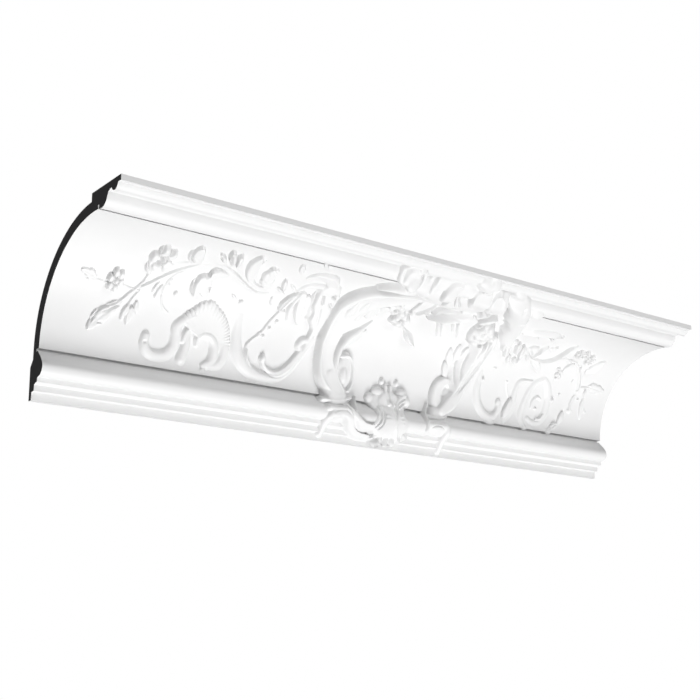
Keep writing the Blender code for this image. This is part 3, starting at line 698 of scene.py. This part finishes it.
def garland(carve):
    """Rose, leaves, shell and flowers across the top of the centrepiece."""
    carve.follows = True
    # Low ground of leaves that joins the whole garland, and runs out under the top moulding
    carve.straps([(352, -20, 3, 10), (374, -20, 4, 15), (404, -20, 4, 16), (436, -18, 4, 16),
                  (470, -18, 4, 16)],
                 [(366, -6, 6, 12), (384, -4, 8.5, 17), (404, 4, 9, 21), (428, 10, 9, 22),
                  (452, 12, 9, 22), (476, 10, 8.5, 20)], section=soft, foot=-4)
    carve.strap([(386, 48, 7, 12), (400, 42, 8, 16), (418, 30, 8.5, 18)], soft, -2)
    # Rose at the head of the left arm: a ball in a cup of petals
    carve.dome(357, -17, 17, 14, 8, foot=-4, fullness=0.35)
    carve.dome(361, -13, 10, 9.5, 13, foot=-2)
    carve.grooves([(347, -12, 3, 2), (347, -20, 6, 2.6), (353, -27, 6, 2.6), (362, -27, 3, 2)],
                  [(366, -23, 4, 1.1), (371, -18, 8, 1.3), (371, -10, 5, 1.2)])
    carve.dimple(355, -4, 2, 8)
    # Thin lines and small hollows that part the leaves right of the rose
    carve.groove([(362, -34, 4, 1), (370, -25, 5, 1.1)])
    carve.dimple(379, -20, 2.2, 9)
    carve.groove([(388, -26, 5, 1.6), (389, -20, 9, 1.9), (388, -14, 8, 1.5), (389, -7, 4, 1.1)])
    carve.ridge([(393, -24, 1.6, 1.6), (393, -16, 1.6, 1.6), (393, -8, 1.2, 1.4)])
    carve.dimple(395, 5, 1.9, 9)
    # Light leaf, and the dark pocket below it
    carve.leaf([(424, 4, 8), (414, -8, 11.5), (418, -18, 10.5), (428, -23, 7)], 8, foot=-3,
               rib=0.0, full=0.45)
    carve.grooves([(429, 20, 4, 1.4), (427, 12, 10, 2.4), (425, 4, 10, 2.6), (428, -3, 6, 1.5)],
                  [(430, -8, 2, 1), (436, 2, 4, 1), (443, 12, 3, 1)],
                  [(440, -12, 3, 1), (436, -6, 3, 1), (443, 2, 4, 1), (450, 10, 3, 1)])
    # Broad leaf, with the stems that hang from it
    carve.strap([(432, 48, 4, 2), (439, 39, 9, 4.4), (448, 29, 11, 5.4), (459, 19, 11, 5)], banked)
    carve.strap([(439, 53, 6, 2), (447, 46, 11.5, 6.5), (458, 38, 14, 11), (472, 25, 15, 13),
                 (486, 8, 13, 12)], banked, -4)
    carve.grooves([(440, 47, 6, 1.2), (443, 38, 5, 1.1), (449, 32, 4, 1), (456, 25, 2, 1)],
                  [(436, 52, 5, 1), (437, 42, 6, 1.2), (441, 32, 5, 1.1), (450, 24, 3, 1)])
    carve.dimple(484, 13, 2.2, 8)
    carve.groove([(480, 18, 5, 1.4), (486, 26, 7, 2), (488, 32, 4, 1.4)])
    for a, b in (((457, 54), (472, 78)), ((463, 54), (478, 77)), ((478, 52), (489, 67)),
                 ((486, 52), (501, 74))):
        carve.strap([(*a, 5, 2), ((a[0] + b[0]) / 2, (a[1] + b[1]) / 2, 3.6, 1.9),
                     (*b, 1.8, 1.4)])
    # Cluster of small buds that hangs below the rose, and the blades beside it
    carve.domes((386, 37, 6, 6.6, 10.5), (392, 45, 6, 6.6, 9.5), (398, 53, 6, 6.6, 10.5),
                (389, 54, 5, 5.5, 8), (397, 68, 5, 5.5, 8), (406, 57, 6, 6.6, 10.5),
                (399, 62, 5, 5.5, 9), (404, 70, 5.5, 6.05, 9), (413, 64, 6, 6.6, 9.5),
                (411, 72, 4.5, 4.95, 8.5), (409, 46, 5.5, 6.05, 11), fullness=0.4)
    carve.dimples((383, 40, 3, 9), (389, 50, 2.6, 9), (401, 47, 2, 7), (404, 64, 1.8, 7),
                  (410, 55, 2.4, 9), (417, 68, 2.4, 8), (397, 70, 1.8, 7))
    carve.grooves([(362, 46, 2, 1), (370, 43, 4, 1.1), (380, 42, 4, 1.1)],
                  [(405, 49, 6, 1.2), (404, 38, 8, 1.4), (406, 28, 7, 1.2), (407, 18, 3, 1)])
    carve.strap([(413, 54, 4, 2), (415, 43, 11, 4.4), (417, 31, 12, 5), (421, 22, 11, 4),
                 (424, 16, 7, 2)], banked)
    carve.stem([(416, 74), (421, 78), (425, 80)], 3, 1.6)
    carve.strap([(424, 79, 3, 2.4), (431, 84, 8, 5.4), (439, 90, 8, 5.4), (448, 97, 3, 2)], banked)
    # Shell: two broad petals with raised rims, under the top moulding
    carve.dome(458, -28, 18, 12, 6, foot=-4, fullness=0.35)
    for midrib, half in (([(474, 8, 9), (464, -8, 10), (458, -24, 9)], 15),
                         ([(496, 12, 9), (491, -6, 10), (484, -24, 9)], 14)):
        carve.leaf(midrib, half, full=0.35, widest=0.6, foot=-4, rib=-0.4, cup=0.2)
    carve.ridge([(452, -8, 0.8, 1.4), (450, -19, 1.4, 1.5), (457, -27, 1.4, 1.5),
                 (466, -25, 1.4, 1.5), (473, -18, 1, 1.4)])
    carve.ridge([(472, -8, 0.8, 1.4), (475, -19, 1.4, 1.5), (481, -27, 1.4, 1.5),
                 (491, -22, 1.4, 1.5), (497, -12, 1, 1.4)])
    carve.dimple(457, -37, 3, 5)
    # Two flowers at the head of the right arm, in soft folds
    carve.dome(527, 58, 17, 20, 10, fullness=0.25)
    carve.domes((519, 50, 8, 8, 11.5), (529, 45, 7, 7, 12), (535, 53, 7, 7, 12.5),
                (522, 61, 9, 8, 12), (532, 66, 8, 7, 12.5), (523, 72, 8, 6, 11),
                (542, 60, 6, 7, 12), fullness=0.4)
    carve.dimple(525, 54, 2, 5)
    carve.scores([(514, 61), (519, 66)], [(521, 65), (529, 65)], [(526, 75), (534, 75)],
                 [(536, 71), (539, 63)], [(536, 48), (542, 43)], [(512, 51), (519, 42)],
                 depth=3, half=1.1)
    carve.leaf([(506, 40, 8), (513, 30, 10), (522, 22, 8)], 5, rib=0.8)
    # Smooth scroll over the right arm, rolled under the top moulding
    carve.dome(558, -4, 12, 10, 6, foot=-4)
    carve.strap([(508, -24, 6, 10), (524, -10, 9, 13), (539, 6, 12, 16), (551, 24, 13, 17),
                 (563, 44, 12, 15), (574, 60, 8, 11), (585, 74, 3, 7)], rounded, -2)
    carve.dimples((541, 36, 6, 14), (534, 26, 4.4, 12), (546, 50, 4, 10), (530, -14, 2.4, 5),
                  (570, 24, 2.4, 5), (551, 12, 2.4, 3))
    carve.follows = False


def right_scrolls(carve):
    """The hooks, rings and hanging buds under the sprays on the right."""
    # Hook beside the right arm
    carve.strap([(566, 113, 1.2, 4), (566, 126, 2.5, 5.4), (568, 140, 3.3, 6.6),
                 (573, 153, 3.6, 7.2), (583, 163.5, 3.6, 7), (595, 166.5, 3.6, 6.2),
                 (604, 160, 3.6, 5), (607, 150, 3.6, 4.6)], soft)
    carve.dome(606, 147, 5, 5.4, 3.4, fullness=0.4)
    carve.groove([(583, 155, 0.6, 1.2), (591, 160, 1, 1.2), (600, 158, 0.6, 1.2)])
    carve.domes((571, 121, 2.6, 3.2, 5), (595, 172, 9, 4, 2.4))
    # Tongue, and the band that bends square beside it
    carve.stem([(611, 118), (616, 128), (621, 137)], 1.2, 1.2)
    carve.leaf([(626, 139, 3.4), (623, 150, 4.6), (615, 165, 3)], 5.5, full=0.5, rib=0.0)
    carve.strap([(654, 112, 2.3, 2.2), (641, 113, 2.7, 2.8), (633, 116.5, 2.8, 4),
                 (631, 128, 2.8, 5), (631, 142, 2.8, 6), (627, 156, 2.5, 6.5), (618, 168, 1.7, 5)],
                soft)
    # Ring: a left arm with a clear edge, and a broad right arm that curls in below
    carve.straps([(670, 107, 2.3, 3.6), (662, 112, 2.5, 4.6), (656, 122, 2.7, 5.4),
                  (652, 135, 2.7, 5.6), (649, 148, 2.3, 6), (647, 160, 2.2, 6),
                  (652, 169, 1.6, 4.4)],
                 [(664, 110, 1.9, 4), (673, 107, 2.2, 4.6), (681.5, 112, 2.3, 5.2),
                  (688, 121, 2.5, 6), (691.5, 132, 2.5, 6.6), (690.5, 146, 2.5, 6.6),
                  (686, 157, 2.3, 5.8), (678, 163.5, 2.2, 5), (668, 164, 2, 4.6),
                  (660, 160, 1.6, 4)],
                 [(664, 146, 1.7, 2), (665, 137, 2.2, 2.6), (671, 131, 2.3, 2.8),
                  (678, 133, 1.9, 2.4)], section=soft)
    carve.dome(672, 146, 2.6, 2.2, 2.6)
    carve.strap([(674, 160, 2.8, 1.6), (681, 158, 3.4, 1.8), (686, 152, 3.1, 1.6)])
    carve.domes((697.5, 131, 2.6, 4, 4.6), (655, 172.5, 4.4, 4, 2), (699, 172, 6, 4.4, 2.4))
    # Hanging buds
    carve.leaf([(701, 169, 2.2), (707, 165, 3.2), (714, 160, 2)], 4.5, rib=1.2)
    carve.leaf([(723, 143, 1.8), (720, 152, 3.4), (715, 161, 2.2)], 4.8, rib=0.4)
    carve.leaf([(737, 118, 1.4), (735, 130, 2.2), (734, 144, 2.2)], 3.8, rib=0.6)
    carve.dome(734.5, 140.5, 4.2, 4.4, 3, fullness=0.35)
    carve.leaf([(754, 122, 1.4), (756, 136, 2.6), (757, 150, 1.6)], 4.4, rib=0.6)
    carve.petal((752, 132), (767, 140), 4, 2.4)
    carve.domes((709, 122, 1.9, 2, 2.4), (722, 101, 2, 3.6, 2.4), (745, 124, 1.6, 2.2, 2.4),
                (613, 119, 1.7, 1.6, 2.4))


def right_sprays(carve):
    """Leaves, buds and flowers on thin stems over the right half of the cove."""
    # Arched leaf, with two small teeth on its lower edge
    carve.strap([(588, 44, 2.4, 4), (600, 37, 6, 6), (615, 32.5, 7, 6.4), (630, 31, 6.6, 6.4),
                 (642, 35, 3, 4)], banked)
    carve.groove([(590, 37, 3, 1.2), (602, 32, 6, 1.5), (616, 28.5, 7, 1.6), (630, 27.5, 6, 1.5),
                  (641, 31, 3, 1.1)])
    carve.petal((601, 39), (614, 47), 4, 7, vein=0.8)
    carve.petal((627, 37), (641, 47), 5.5, 7.2, vein=1.4)
    carve.dome(646.5, 35, 2.6, 2.2, 3.6)
    # Cluster beside the right arm
    carve.petals(((573, 60), (577, 79), 7, 6.75), ((579, 62), (588, 87), 9, 6.75),
                 ((595, 60), (602, 80), 8, 6), ((605, 63), (611, 84), 8, 6.25),
                 ((611, 68), (613, 92), 6, 5), ((593, 82), (600, 96), 8, 5),
                 ((619, 72), (627, 85), 7, 4.25), ((604, 84), (609, 95), 6, 3.75), vein=2.6)
    carve.domes((587, 61, 5.5, 3.4, 6), (585, 105, 3.4, 2.4, 2))
    # Leaves, and the tendril right of them
    carve.straps([(611, 68, 3, 4), (621, 73, 6.5, 5), (633, 79, 5, 4)],
                 [(632, 77, 4, 3.4), (634, 67, 6, 4.6), (641, 59, 4, 3.4)], section=banked)
    carve.petal((661, 60), (649, 60), 8, 2.6)
    carve.dome(657, 56, 2.4, 1.8, 4)
    carve.strap([(642, 80.5, 3, 2.4), (651, 81, 5, 3), (662, 77, 6, 3.2), (669, 71, 6, 3.2),
                 (674, 61, 6, 3.2), (677, 53, 5, 3), (683, 46, 3, 2.2)], banked)
    carve.groove([(681, 47, 3, 1), (675, 53, 5, 1.2), (671, 61, 5, 1.3), (666, 69, 5, 1.3),
                  (659, 75, 5, 1.3), (650, 78.5, 4, 1.2), (643, 79, 2, 1)])
    carve.dome(626, 70, 11, 9, 5.5, fullness=0.4)
    carve.groove([(617, 66, 3, 1.6), (623, 73, 6, 2.2), (629, 77, 5, 2), (632, 69, 6, 2.2),
                  (635, 61, 3, 1.4)])
    carve.leaf([(634, 82, 2), (646, 89, 4.2), (658, 99, 2)], 5.5, rib=0.6)
    # Far spray
    carve.stem([(664, 79), (678, 73), (692, 71.5), (702, 72), (710, 74.5), (717, 79), (722, 85),
                (728, 92), (733, 100), (736, 108), (741, 115)], 1.8, 1.5)
    carve.stem([(722, 80), (729, 88), (734, 95), (738, 103), (738, 113)], 3.2, 1.8)
    carve.petal((686, 70), (701, 76), 4, 2.4)
    for x, s, radius in ((700, 58, 6.5), (711, 57, 6.5), (725, 64, 8)):
        carve.blossom(x, s, radius, 5, 6, turn=15, squeeze=1.2, fold=0.5)
    carve.leaf([(734, 86, 2), (744, 77, 4.2), (753, 61, 3)], 8.5, roll=0.4, rib=0.6, lobes=2,
               notch=0.15)
    carve.leaf([(708, 76, 2), (701, 83, 3.4), (695, 91, 2)], 5, rib=0.6)
    carve.blossom(692, 96, 6.5, 5, 4, turn=0, squeeze=1.3)
    carve.petal((690, 87), (683, 88), 4, 3.2)
    # Leaves at the far end
    carve.stem([(740, 108), (748, 106), (757, 105)], 2, 1.3)
    carve.leaf([(753, 104, 2), (768, 105, 3.4), (787, 107, 2)], 7, rib=0.9, lobes=3, notch=0.2)
    carve.petals(((752, 108), (755, 120), 5, 3.2), ((757, 104), (762, 97), 4, 2.4))


GROUPS = (left_sprays, left_leaves, left_scrolls, cartouche, crown, garland, right_scrolls,
          right_sprays)


# The casting

def carved_relief(length, pitch, blend):
    """The whole carving, each group over the ones before it."""
    relief = Relief(length, pitch, blend)
    for group in GROUPS:
        group(relief)
    return relief


def sampled(relief, x, s):
    """Heights of the relief at every x and s, read between the grid's points."""
    # Just short of the last point, so that there is always a next one
    last = 1.001
    columns = np.clip(x / relief.pitch, 0, len(relief.x) - last)
    lines = np.clip((s - FIRST_S) / relief.pitch, 0, len(relief.s) - last)
    i, j = columns.astype(int), lines.astype(int)
    a, b = (columns - i)[None, :], (lines - j)[:, None]
    h = relief.h
    upper = h[j][:, i] * (1 - a) + h[j][:, i + 1] * a
    lower = h[j + 1][:, i] * (1 - a) + h[j + 1][:, i + 1] * a
    return upper * (1 - b) + lower * b


def widened(mask, rings):
    """The mask grown by this many cells."""
    for _ in range(rings):
        grown = mask.copy()
        grown[1:] |= mask[:-1]
        grown[:-1] |= mask[1:]
        grown[:, 1:] |= mask[:, :-1]
        grown[:, :-1] |= mask[:, 1:]
        grown[1:, 1:] |= mask[:-1, :-1]
        grown[:-1, :-1] |= mask[1:, 1:]
        mask = grown
    return mask


def face_polygons(number, used, active):
    """Small squares where the face is carved, and one long polygon for each plain run of a row."""
    j, i = np.nonzero(active)
    square = number[j, i], number[j + 1, i], number[j + 1, i + 1], number[j, i + 1]
    faces = np.stack(square, axis=1).tolist()
    for row, busy in enumerate(active):
        plain = np.concatenate([[False], ~busy, [False]])
        starts = np.nonzero(plain[1:] & ~plain[:-1])[0]
        stops = np.nonzero(~plain[1:] & plain[:-1])[0]
        for a, b in zip(starts, stops):
            run = slice(a, b + 1)
            upper = number[row, run][used[row, run]]
            lower = number[row + 1, run][used[row + 1, run]]
            faces.append(upper[::-1].tolist() + lower.tolist())
    return faces


def back_polygons(number, used, left, right):
    """The hollow back with its two flat faces: a strip for each span, from the foot up.

    The first and last strips hold every point of the front's edge, so the mesh is closed.
    """
    left = [number[-1, 0]] + left + [number[0, 0]]
    right = [number[-1, -1]] + right + [number[0, -1]]
    strips = [list(strip) for strip in zip(left, left[1:], right[1:], right)]
    strips[0] = strips[0][:3] + number[-1][used[-1]][:0:-1].tolist()
    strips[-1] = strips[-1][:1] + number[0][used[0]].tolist() + strips[-1][3:]
    return strips


def casting_mesh(name, length, cell, relief):
    """The section as one closed mesh: fine where it is carved, long faces where it is plain.

    The second value is a weight for each point: 1 on the carving, which alone may be thinned.
    """
    front = divided(front_profile(), cell)
    back = divided(back_profile(), BACK_SPAN)
    s, ground, out = unrolled(front)
    ground = ground[:, None]
    columns = int(round(length / cell))
    x = np.linspace(0, length, columns + 1)
    height = sampled(relief, x, s)
    inner = slice(1, -1)
    carved = np.zeros(height.shape, bool)
    carved[inner, inner] = (height > ground - relief.blend)[inner, inner]
    lift = np.where(carved, soft_max(height, ground, relief.blend), ground) - ground

    active = carved[1:, 1:] | carved[:-1, 1:] | carved[1:, :-1] | carved[:-1, :-1]
    active = widened(active, 2)
    used = np.zeros(height.shape, bool)
    for rows in (slice(0, -1), slice(1, None)):
        for cols in (slice(0, -1), slice(1, None)):
            used[rows, cols] |= active
    used[:, 0] = used[:, -1] = True

    # Points: those of the front that are used, then the back's at the left and right ends
    number = np.cumsum(used.ravel()).reshape(used.shape) - 1
    j, i = np.nonzero(used)
    flat = front[j] + out[j] * lift[j, i][:, None]
    flat[:, 1] = np.maximum(flat[:, 1], -DROP)
    points = [np.column_stack([x[i] - length / 2, flat[:, 0], flat[:, 1] - ORIGIN_Z])]
    points += [[(end, y, z - ORIGIN_Z) for y, z in back] for end in (-length / 2, length / 2)]
    verts = np.vstack(points) * MM
    left = list(range(len(j), len(j) + len(back)))
    right = [point + len(back) for point in left]

    faces = face_polygons(number, used, active) + back_polygons(number, used, left, right)
    faces.append((list(number[:, 0]) + left)[::-1])
    faces.append(list(number[:, -1]) + right)
    mesh = bpy.data.meshes.new(name)
    mesh.from_pydata(verts, [], faces)
    sawn = np.zeros(len(faces), np.int32)
    sawn[-2:] = 1
    mesh.polygons.foreach_set("material_index", sawn)

    weight = np.zeros(len(verts))
    weight[:len(j)] = carved[j, i] & (i > 0) & (i < columns)
    return mesh, weight


def thinned(piece, weight, triangles):
    """Takes points out of the carving, where they shape it least, down to this many triangles."""
    group = piece.vertex_groups.new(name="carved")
    group.add([int(v) for v in np.nonzero(weight)[0]], 1.0, "REPLACE")
    piece.data.calc_loop_triangles()
    whole = len(piece.data.loop_triangles)
    if whole > triangles:
        collapse = piece.modifiers.new("thin", "DECIMATE")
        collapse.ratio = triangles / whole
        collapse.vertex_group = group.name
        collapse.vertex_group_factor = 1.0
        seen = piece.evaluated_get(bpy.context.evaluated_depsgraph_get())
        mesh = bpy.data.meshes.new_from_object(seen)
        piece.modifiers.clear()
        coarse = piece.data
        piece.data = mesh
        bpy.data.meshes.remove(coarse)
    piece.vertex_groups.clear()


# Materials

def fine_grain_group():
    """A node group: the faint unevenness of a painted casting, as a mask and as a height."""
    mottle_detail, grain_detail, grain_share = 4, 2, 0.35
    group = bpy.data.node_groups.new("cast_grain", "ShaderNodeTree")
    for name, low, high, start in (("Mottle Size", 1, 500, 30), ("Grain Size", 10, 5000, 900)):
        socket = group.interface.new_socket(name, in_out="INPUT", socket_type="NodeSocketFloat")
        socket.min_value, socket.max_value, socket.default_value = low, high, start
    for name in ("Mottle", "Height"):
        group.interface.new_socket(name, in_out="OUTPUT", socket_type="NodeSocketFloat")
    nodes, links = group.nodes, group.links
    given, made = nodes.new("NodeGroupInput"), nodes.new("NodeGroupOutput")
    place = nodes.new("ShaderNodeTexCoord")
    mottle, grain = nodes.new("ShaderNodeTexNoise"), nodes.new("ShaderNodeTexNoise")
    mottle.inputs["Detail"].default_value = mottle_detail
    grain.inputs["Detail"].default_value = grain_detail
    for noise, size in ((mottle, "Mottle Size"), (grain, "Grain Size")):
        links.new(place.outputs["Object"], noise.inputs["Vector"])
        links.new(given.outputs[size], noise.inputs["Scale"])
    both = nodes.new("ShaderNodeMath")
    both.operation = "MULTIPLY_ADD"
    both.inputs[1].default_value = grain_share
    links.new(grain.outputs["Fac"], both.inputs[0])
    links.new(mottle.outputs["Fac"], both.inputs[2])
    links.new(mottle.outputs["Fac"], made.inputs["Mottle"])
    links.new(both.outputs["Value"], made.inputs["Height"])
    return group


def finish_material(name, grain, colours, rough, bump, sizes):
    """A painted or raw face of the casting: mottled between two colours and two roughnesses.

    sizes are the scales of the mottle and of the grain, and bump is how much the grain shows.
    """
    grain_height = 0.1 * MM
    low, high = colours
    material = bpy.data.materials.new(name)
    material.use_nodes = True
    nodes, links = material.node_tree.nodes, material.node_tree.links
    shader = nodes["Principled BSDF"]
    texture = nodes.new("ShaderNodeGroup")
    texture.node_tree = grain
    texture.inputs["Mottle Size"].default_value, texture.inputs["Grain Size"].default_value = sizes
    tint = nodes.new("ShaderNodeMix")
    tint.data_type = "RGBA"
    tint.inputs["A"].default_value, tint.inputs["B"].default_value = (*low, 1), (*high, 1)
    links.new(texture.outputs["Mottle"], tint.inputs["Factor"])
    links.new(tint.outputs["Result"], shader.inputs["Base Color"])
    gloss = nodes.new("ShaderNodeMapRange")
    gloss.inputs["To Min"].default_value, gloss.inputs["To Max"].default_value = rough
    links.new(texture.outputs["Mottle"], gloss.inputs["Value"])
    links.new(gloss.outputs["Result"], shader.inputs["Roughness"])
    relief = nodes.new("ShaderNodeBump")
    relief.inputs["Strength"].default_value = bump
    relief.inputs["Distance"].default_value = grain_height
    links.new(texture.outputs["Height"], relief.inputs["Height"])
    links.new(relief.outputs["Normal"], shader.inputs["Normal"])
    return material


# Settings

class CorniceCasting(bpy.types.PropertyGroup):
    """Sizes and colours of the casting."""

    length: bpy.props.FloatProperty(
        name="Length", description="Length of the section", unit="LENGTH",
        default=CAD_HIGH.x - CAD_LOW.x)
    cell: bpy.props.FloatProperty(
        name="Cell", description="Distance between the points of the carved face",
        unit="LENGTH", default=0.7 * MM)
    pitch: bpy.props.FloatProperty(
        name="Relief Pitch", description="Distance between the heights of the relief",
        unit="LENGTH", default=0.5 * MM)
    fillet: bpy.props.FloatProperty(
        name="Fillet", description="Size of the fillet where one form meets another",
        unit="LENGTH", default=0.5 * MM)
    triangles: bpy.props.IntProperty(
        name="Triangles", description="Most triangles in the casting", default=190000)
    paint: bpy.props.FloatVectorProperty(
        name="Paint", description="Colour of the white finish", subtype="COLOR",
        size=3, default=(0.74, 0.74, 0.74))
    cut: bpy.props.FloatVectorProperty(
        name="Cut End", description="Colour of the two sawn ends", subtype="COLOR",
        size=3, default=(0.06, 0.06, 0.062))


class CorniceStage(bpy.types.PropertyGroup):
    """Floor, light and camera."""

    floor_colour: bpy.props.FloatVectorProperty(
        name="Floor", description="Colour of the floor", subtype="COLOR", size=3,
        default=(0.9, 0.9, 0.9))
    floor_height: bpy.props.FloatProperty(
        name="Floor Height", description="Height of the floor in the part's frame",
        unit="LENGTH", default=-5.5)
    floor_glow: bpy.props.FloatProperty(
        name="Floor Glow", description="Light that the floor gives back", default=0.65)
    sky: bpy.props.FloatProperty(
        name="Sky", description="Strength of the even light all round", default=0.2)
    key: bpy.props.FloatProperty(
        name="Key Light", description="Power of the soft light from below, in watts",
        default=240)
    fill: bpy.props.FloatProperty(
        name="Fill Light", description="Power of the gentle light in front, in watts",
        default=54)
    back: bpy.props.FloatProperty(
        name="Back Light", description="Power of the soft light behind and above, in watts",
        default=90)
    lens: bpy.props.FloatProperty(
        name="Lens", description="Focal length in millimetres", default=62.99)


class CORNICE_OT_casting(bpy.types.Operator):
    """Model the carved section as one casting"""

    bl_idname = "cornice.casting"
    bl_label = "Cast the Section"

    def execute(self, context):
        sizes = context.scene.cornice_casting
        length = sizes.length / MM
        relief = carved_relief(length, sizes.pitch / MM, sizes.fillet / MM)
        mesh, weight = casting_mesh("casting", length, sizes.cell / MM, relief)
        piece = bpy.data.objects.new("cornice_casting", mesh)
        context.scene.collection.objects.link(piece)
        thinned(piece, weight, sizes.triangles)
        mesh = piece.data
        mesh.shade_smooth()
        mesh.set_sharp_from_angle(angle=SHARP)
        grain = fine_grain_group()
        paint, cut = Vector(sizes.paint), Vector(sizes.cut)
        mesh.materials.append(finish_material(
            "satin_white", grain, colours=(paint * 0.98, paint * 1.01), rough=(0.42, 0.52),
            bump=0.25, sizes=(30, 900)))
        mesh.materials.append(finish_material(
            "sawn_end", grain, colours=(cut * 0.8, cut * 1.2), rough=(0.75, 0.9),
            bump=0.6, sizes=(120, 1500)))
        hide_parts(NODE)
        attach(piece, "root")
        return {"FINISHED"}


class CORNICE_OT_stage(bpy.types.Operator):
    """Set the section over a pale floor, in soft studio light, with its camera"""

    bl_idname = "cornice.stage"
    bl_label = "Set the Stage"

    def execute(self, context):
        scene = context.scene
        given = scene.cornice_stage
        scene.view_settings.view_transform = "Standard"
        make_sky(scene, given)
        make_floor(scene, given)
        make_lights(scene, given)
        make_camera(scene, given)
        return {"FINISHED"}


def make_sky(scene, given):
    """White to the camera, and a gentler even light on the part."""
    world = bpy.data.worlds.new("studio")
    world.use_nodes = True
    nodes, links = world.node_tree.nodes, world.node_tree.links
    sky = nodes["Background"]
    sky.inputs["Color"].default_value = (1, 1, 1, 1)
    seen = nodes.new("ShaderNodeLightPath")
    strength = nodes.new("ShaderNodeMapRange")
    strength.inputs["To Min"].default_value = given.sky
    strength.inputs["To Max"].default_value = 1
    links.new(seen.outputs["Is Camera Ray"], strength.inputs["Value"])
    links.new(strength.outputs["Result"], sky.inputs["Strength"])
    scene.world = world


def make_floor(scene, given):
    """A wide disc, far under the part."""
    reach, sides = 30.0, 64
    mesh = bpy.data.meshes.new("floor")
    ring = [(reach * cos(a), reach * sin(a), given.floor_height)
            for a in np.linspace(0, tau, sides + 1)[:-1]]
    mesh.from_pydata(ring, [], [list(range(len(ring)))])
    floor = bpy.data.objects.new("floor", mesh)
    scene.collection.objects.link(floor)
    paint = bpy.data.materials.new("floor_paint")
    paint.use_nodes = True
    shader = paint.node_tree.nodes["Principled BSDF"]
    shader.inputs["Base Color"].default_value = (*given.floor_colour, 1)
    shader.inputs["Roughness"].default_value = 0.9
    shader.inputs["Emission Color"].default_value = (*given.floor_colour, 1)
    seen = paint.node_tree.nodes.new("ShaderNodeLightPath")
    glow = paint.node_tree.nodes.new("ShaderNodeMath")
    glow.operation = "MULTIPLY"
    glow.inputs[1].default_value = given.floor_glow
    paint.node_tree.links.new(seen.outputs["Is Camera Ray"], glow.inputs[0])
    paint.node_tree.links.new(glow.outputs["Value"], shader.inputs["Emission Strength"])
    mesh.materials.append(paint)


def make_lights(scene, given):
    """A broad soft key from below, a gentler light in front and right, and one behind and above.

    Each has its power, its width and its place, in metres, and turns to the part's middle.
    """
    middle = Vector((0, -0.09, 0.07))
    for name, power, size, place in (("key", given.key, 2.2, (-0.25, -1.9, -4.35)),
                                     ("fill", given.fill, 1.6, (1.36, -3.8, 0.42)),
                                     ("back", given.back, 2.0, (0.6, 3.0, 2.4))):
        light = bpy.data.lights.new(name, "AREA")
        light.energy, light.size = power, size
        lamp = bpy.data.objects.new(name, light)
        lamp.location = place
        lamp.visible_camera = False
        lamp.rotation_euler = (middle - lamp.location).to_track_quat("-Z", "Y").to_euler()
        scene.collection.objects.link(lamp)


def make_camera(scene, given):
    """The photograph's viewpoint: from the left, in front and below. Angles are in radians."""
    yaw, pitch, roll = 0.6530, 0.2280, -0.0038
    place, shift = (-0.8587, -1.0857, -0.2735), (0.0177, 0.0603)
    ahead = Vector((sin(yaw) * cos(pitch), cos(yaw) * cos(pitch), sin(pitch)))
    right = ahead.cross(Vector((0, 0, 1))).normalized()
    up = right.cross(ahead)
    level = right * cos(roll) + up * sin(roll)
    upright = up * cos(roll) - right * sin(roll)
    data = bpy.data.cameras.new("camera")
    data.sensor_width = 36
    data.lens = given.lens
    data.shift_x, data.shift_y = shift
    data.clip_start, data.clip_end = 0.05, 100
    camera = bpy.data.objects.new("camera", data)
    turn = Matrix((level, upright, -ahead)).transposed().to_4x4()
    camera.matrix_world = Matrix.Translation(place) @ turn
    scene.collection.objects.link(camera)
    scene.camera = camera


class CORNICE_PT_panel(bpy.types.Panel):
    """Lists the pieces and the stage"""

    bl_idname = "CORNICE_PT_panel"
    bl_label = "Cornice Moulding"
    bl_space_type = "VIEW_3D"
    bl_region_type = "UI"
    bl_category = "Cornice"

    def draw(self, context):
        for settings, operator, names in (
            (context.scene.cornice_casting, CORNICE_OT_casting,
             ("length", "cell", "pitch", "fillet", "triangles", "paint", "cut")),
            (context.scene.cornice_stage, CORNICE_OT_stage,
             ("floor_colour", "floor_height", "floor_glow", "sky", "key", "fill", "back",
              "lens")),
        ):
            box = self.layout.box()
            for name in names:
                box.prop(settings, name)
            box.operator(operator.bl_idname)


CLASSES = (CorniceCasting, CorniceStage, CORNICE_OT_casting, CORNICE_OT_stage, CORNICE_PT_panel)


def register():
    """Adds the settings, the operators and their panel."""
    for made in CLASSES:
        bpy.utils.register_class(made)
    bpy.types.Scene.cornice_casting = bpy.props.PointerProperty(type=CorniceCasting)
    bpy.types.Scene.cornice_stage = bpy.props.PointerProperty(type=CorniceStage)


def unregister():
    """Takes them out again."""
    del bpy.types.Scene.cornice_stage
    del bpy.types.Scene.cornice_casting
    for made in reversed(CLASSES):
        bpy.utils.unregister_class(made)


def main():
    """Builds the part and its stage."""
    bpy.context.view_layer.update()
    register()
    bpy.ops.cornice.casting()
    bpy.ops.cornice.stage()


if __name__ == "__main__":
    main()
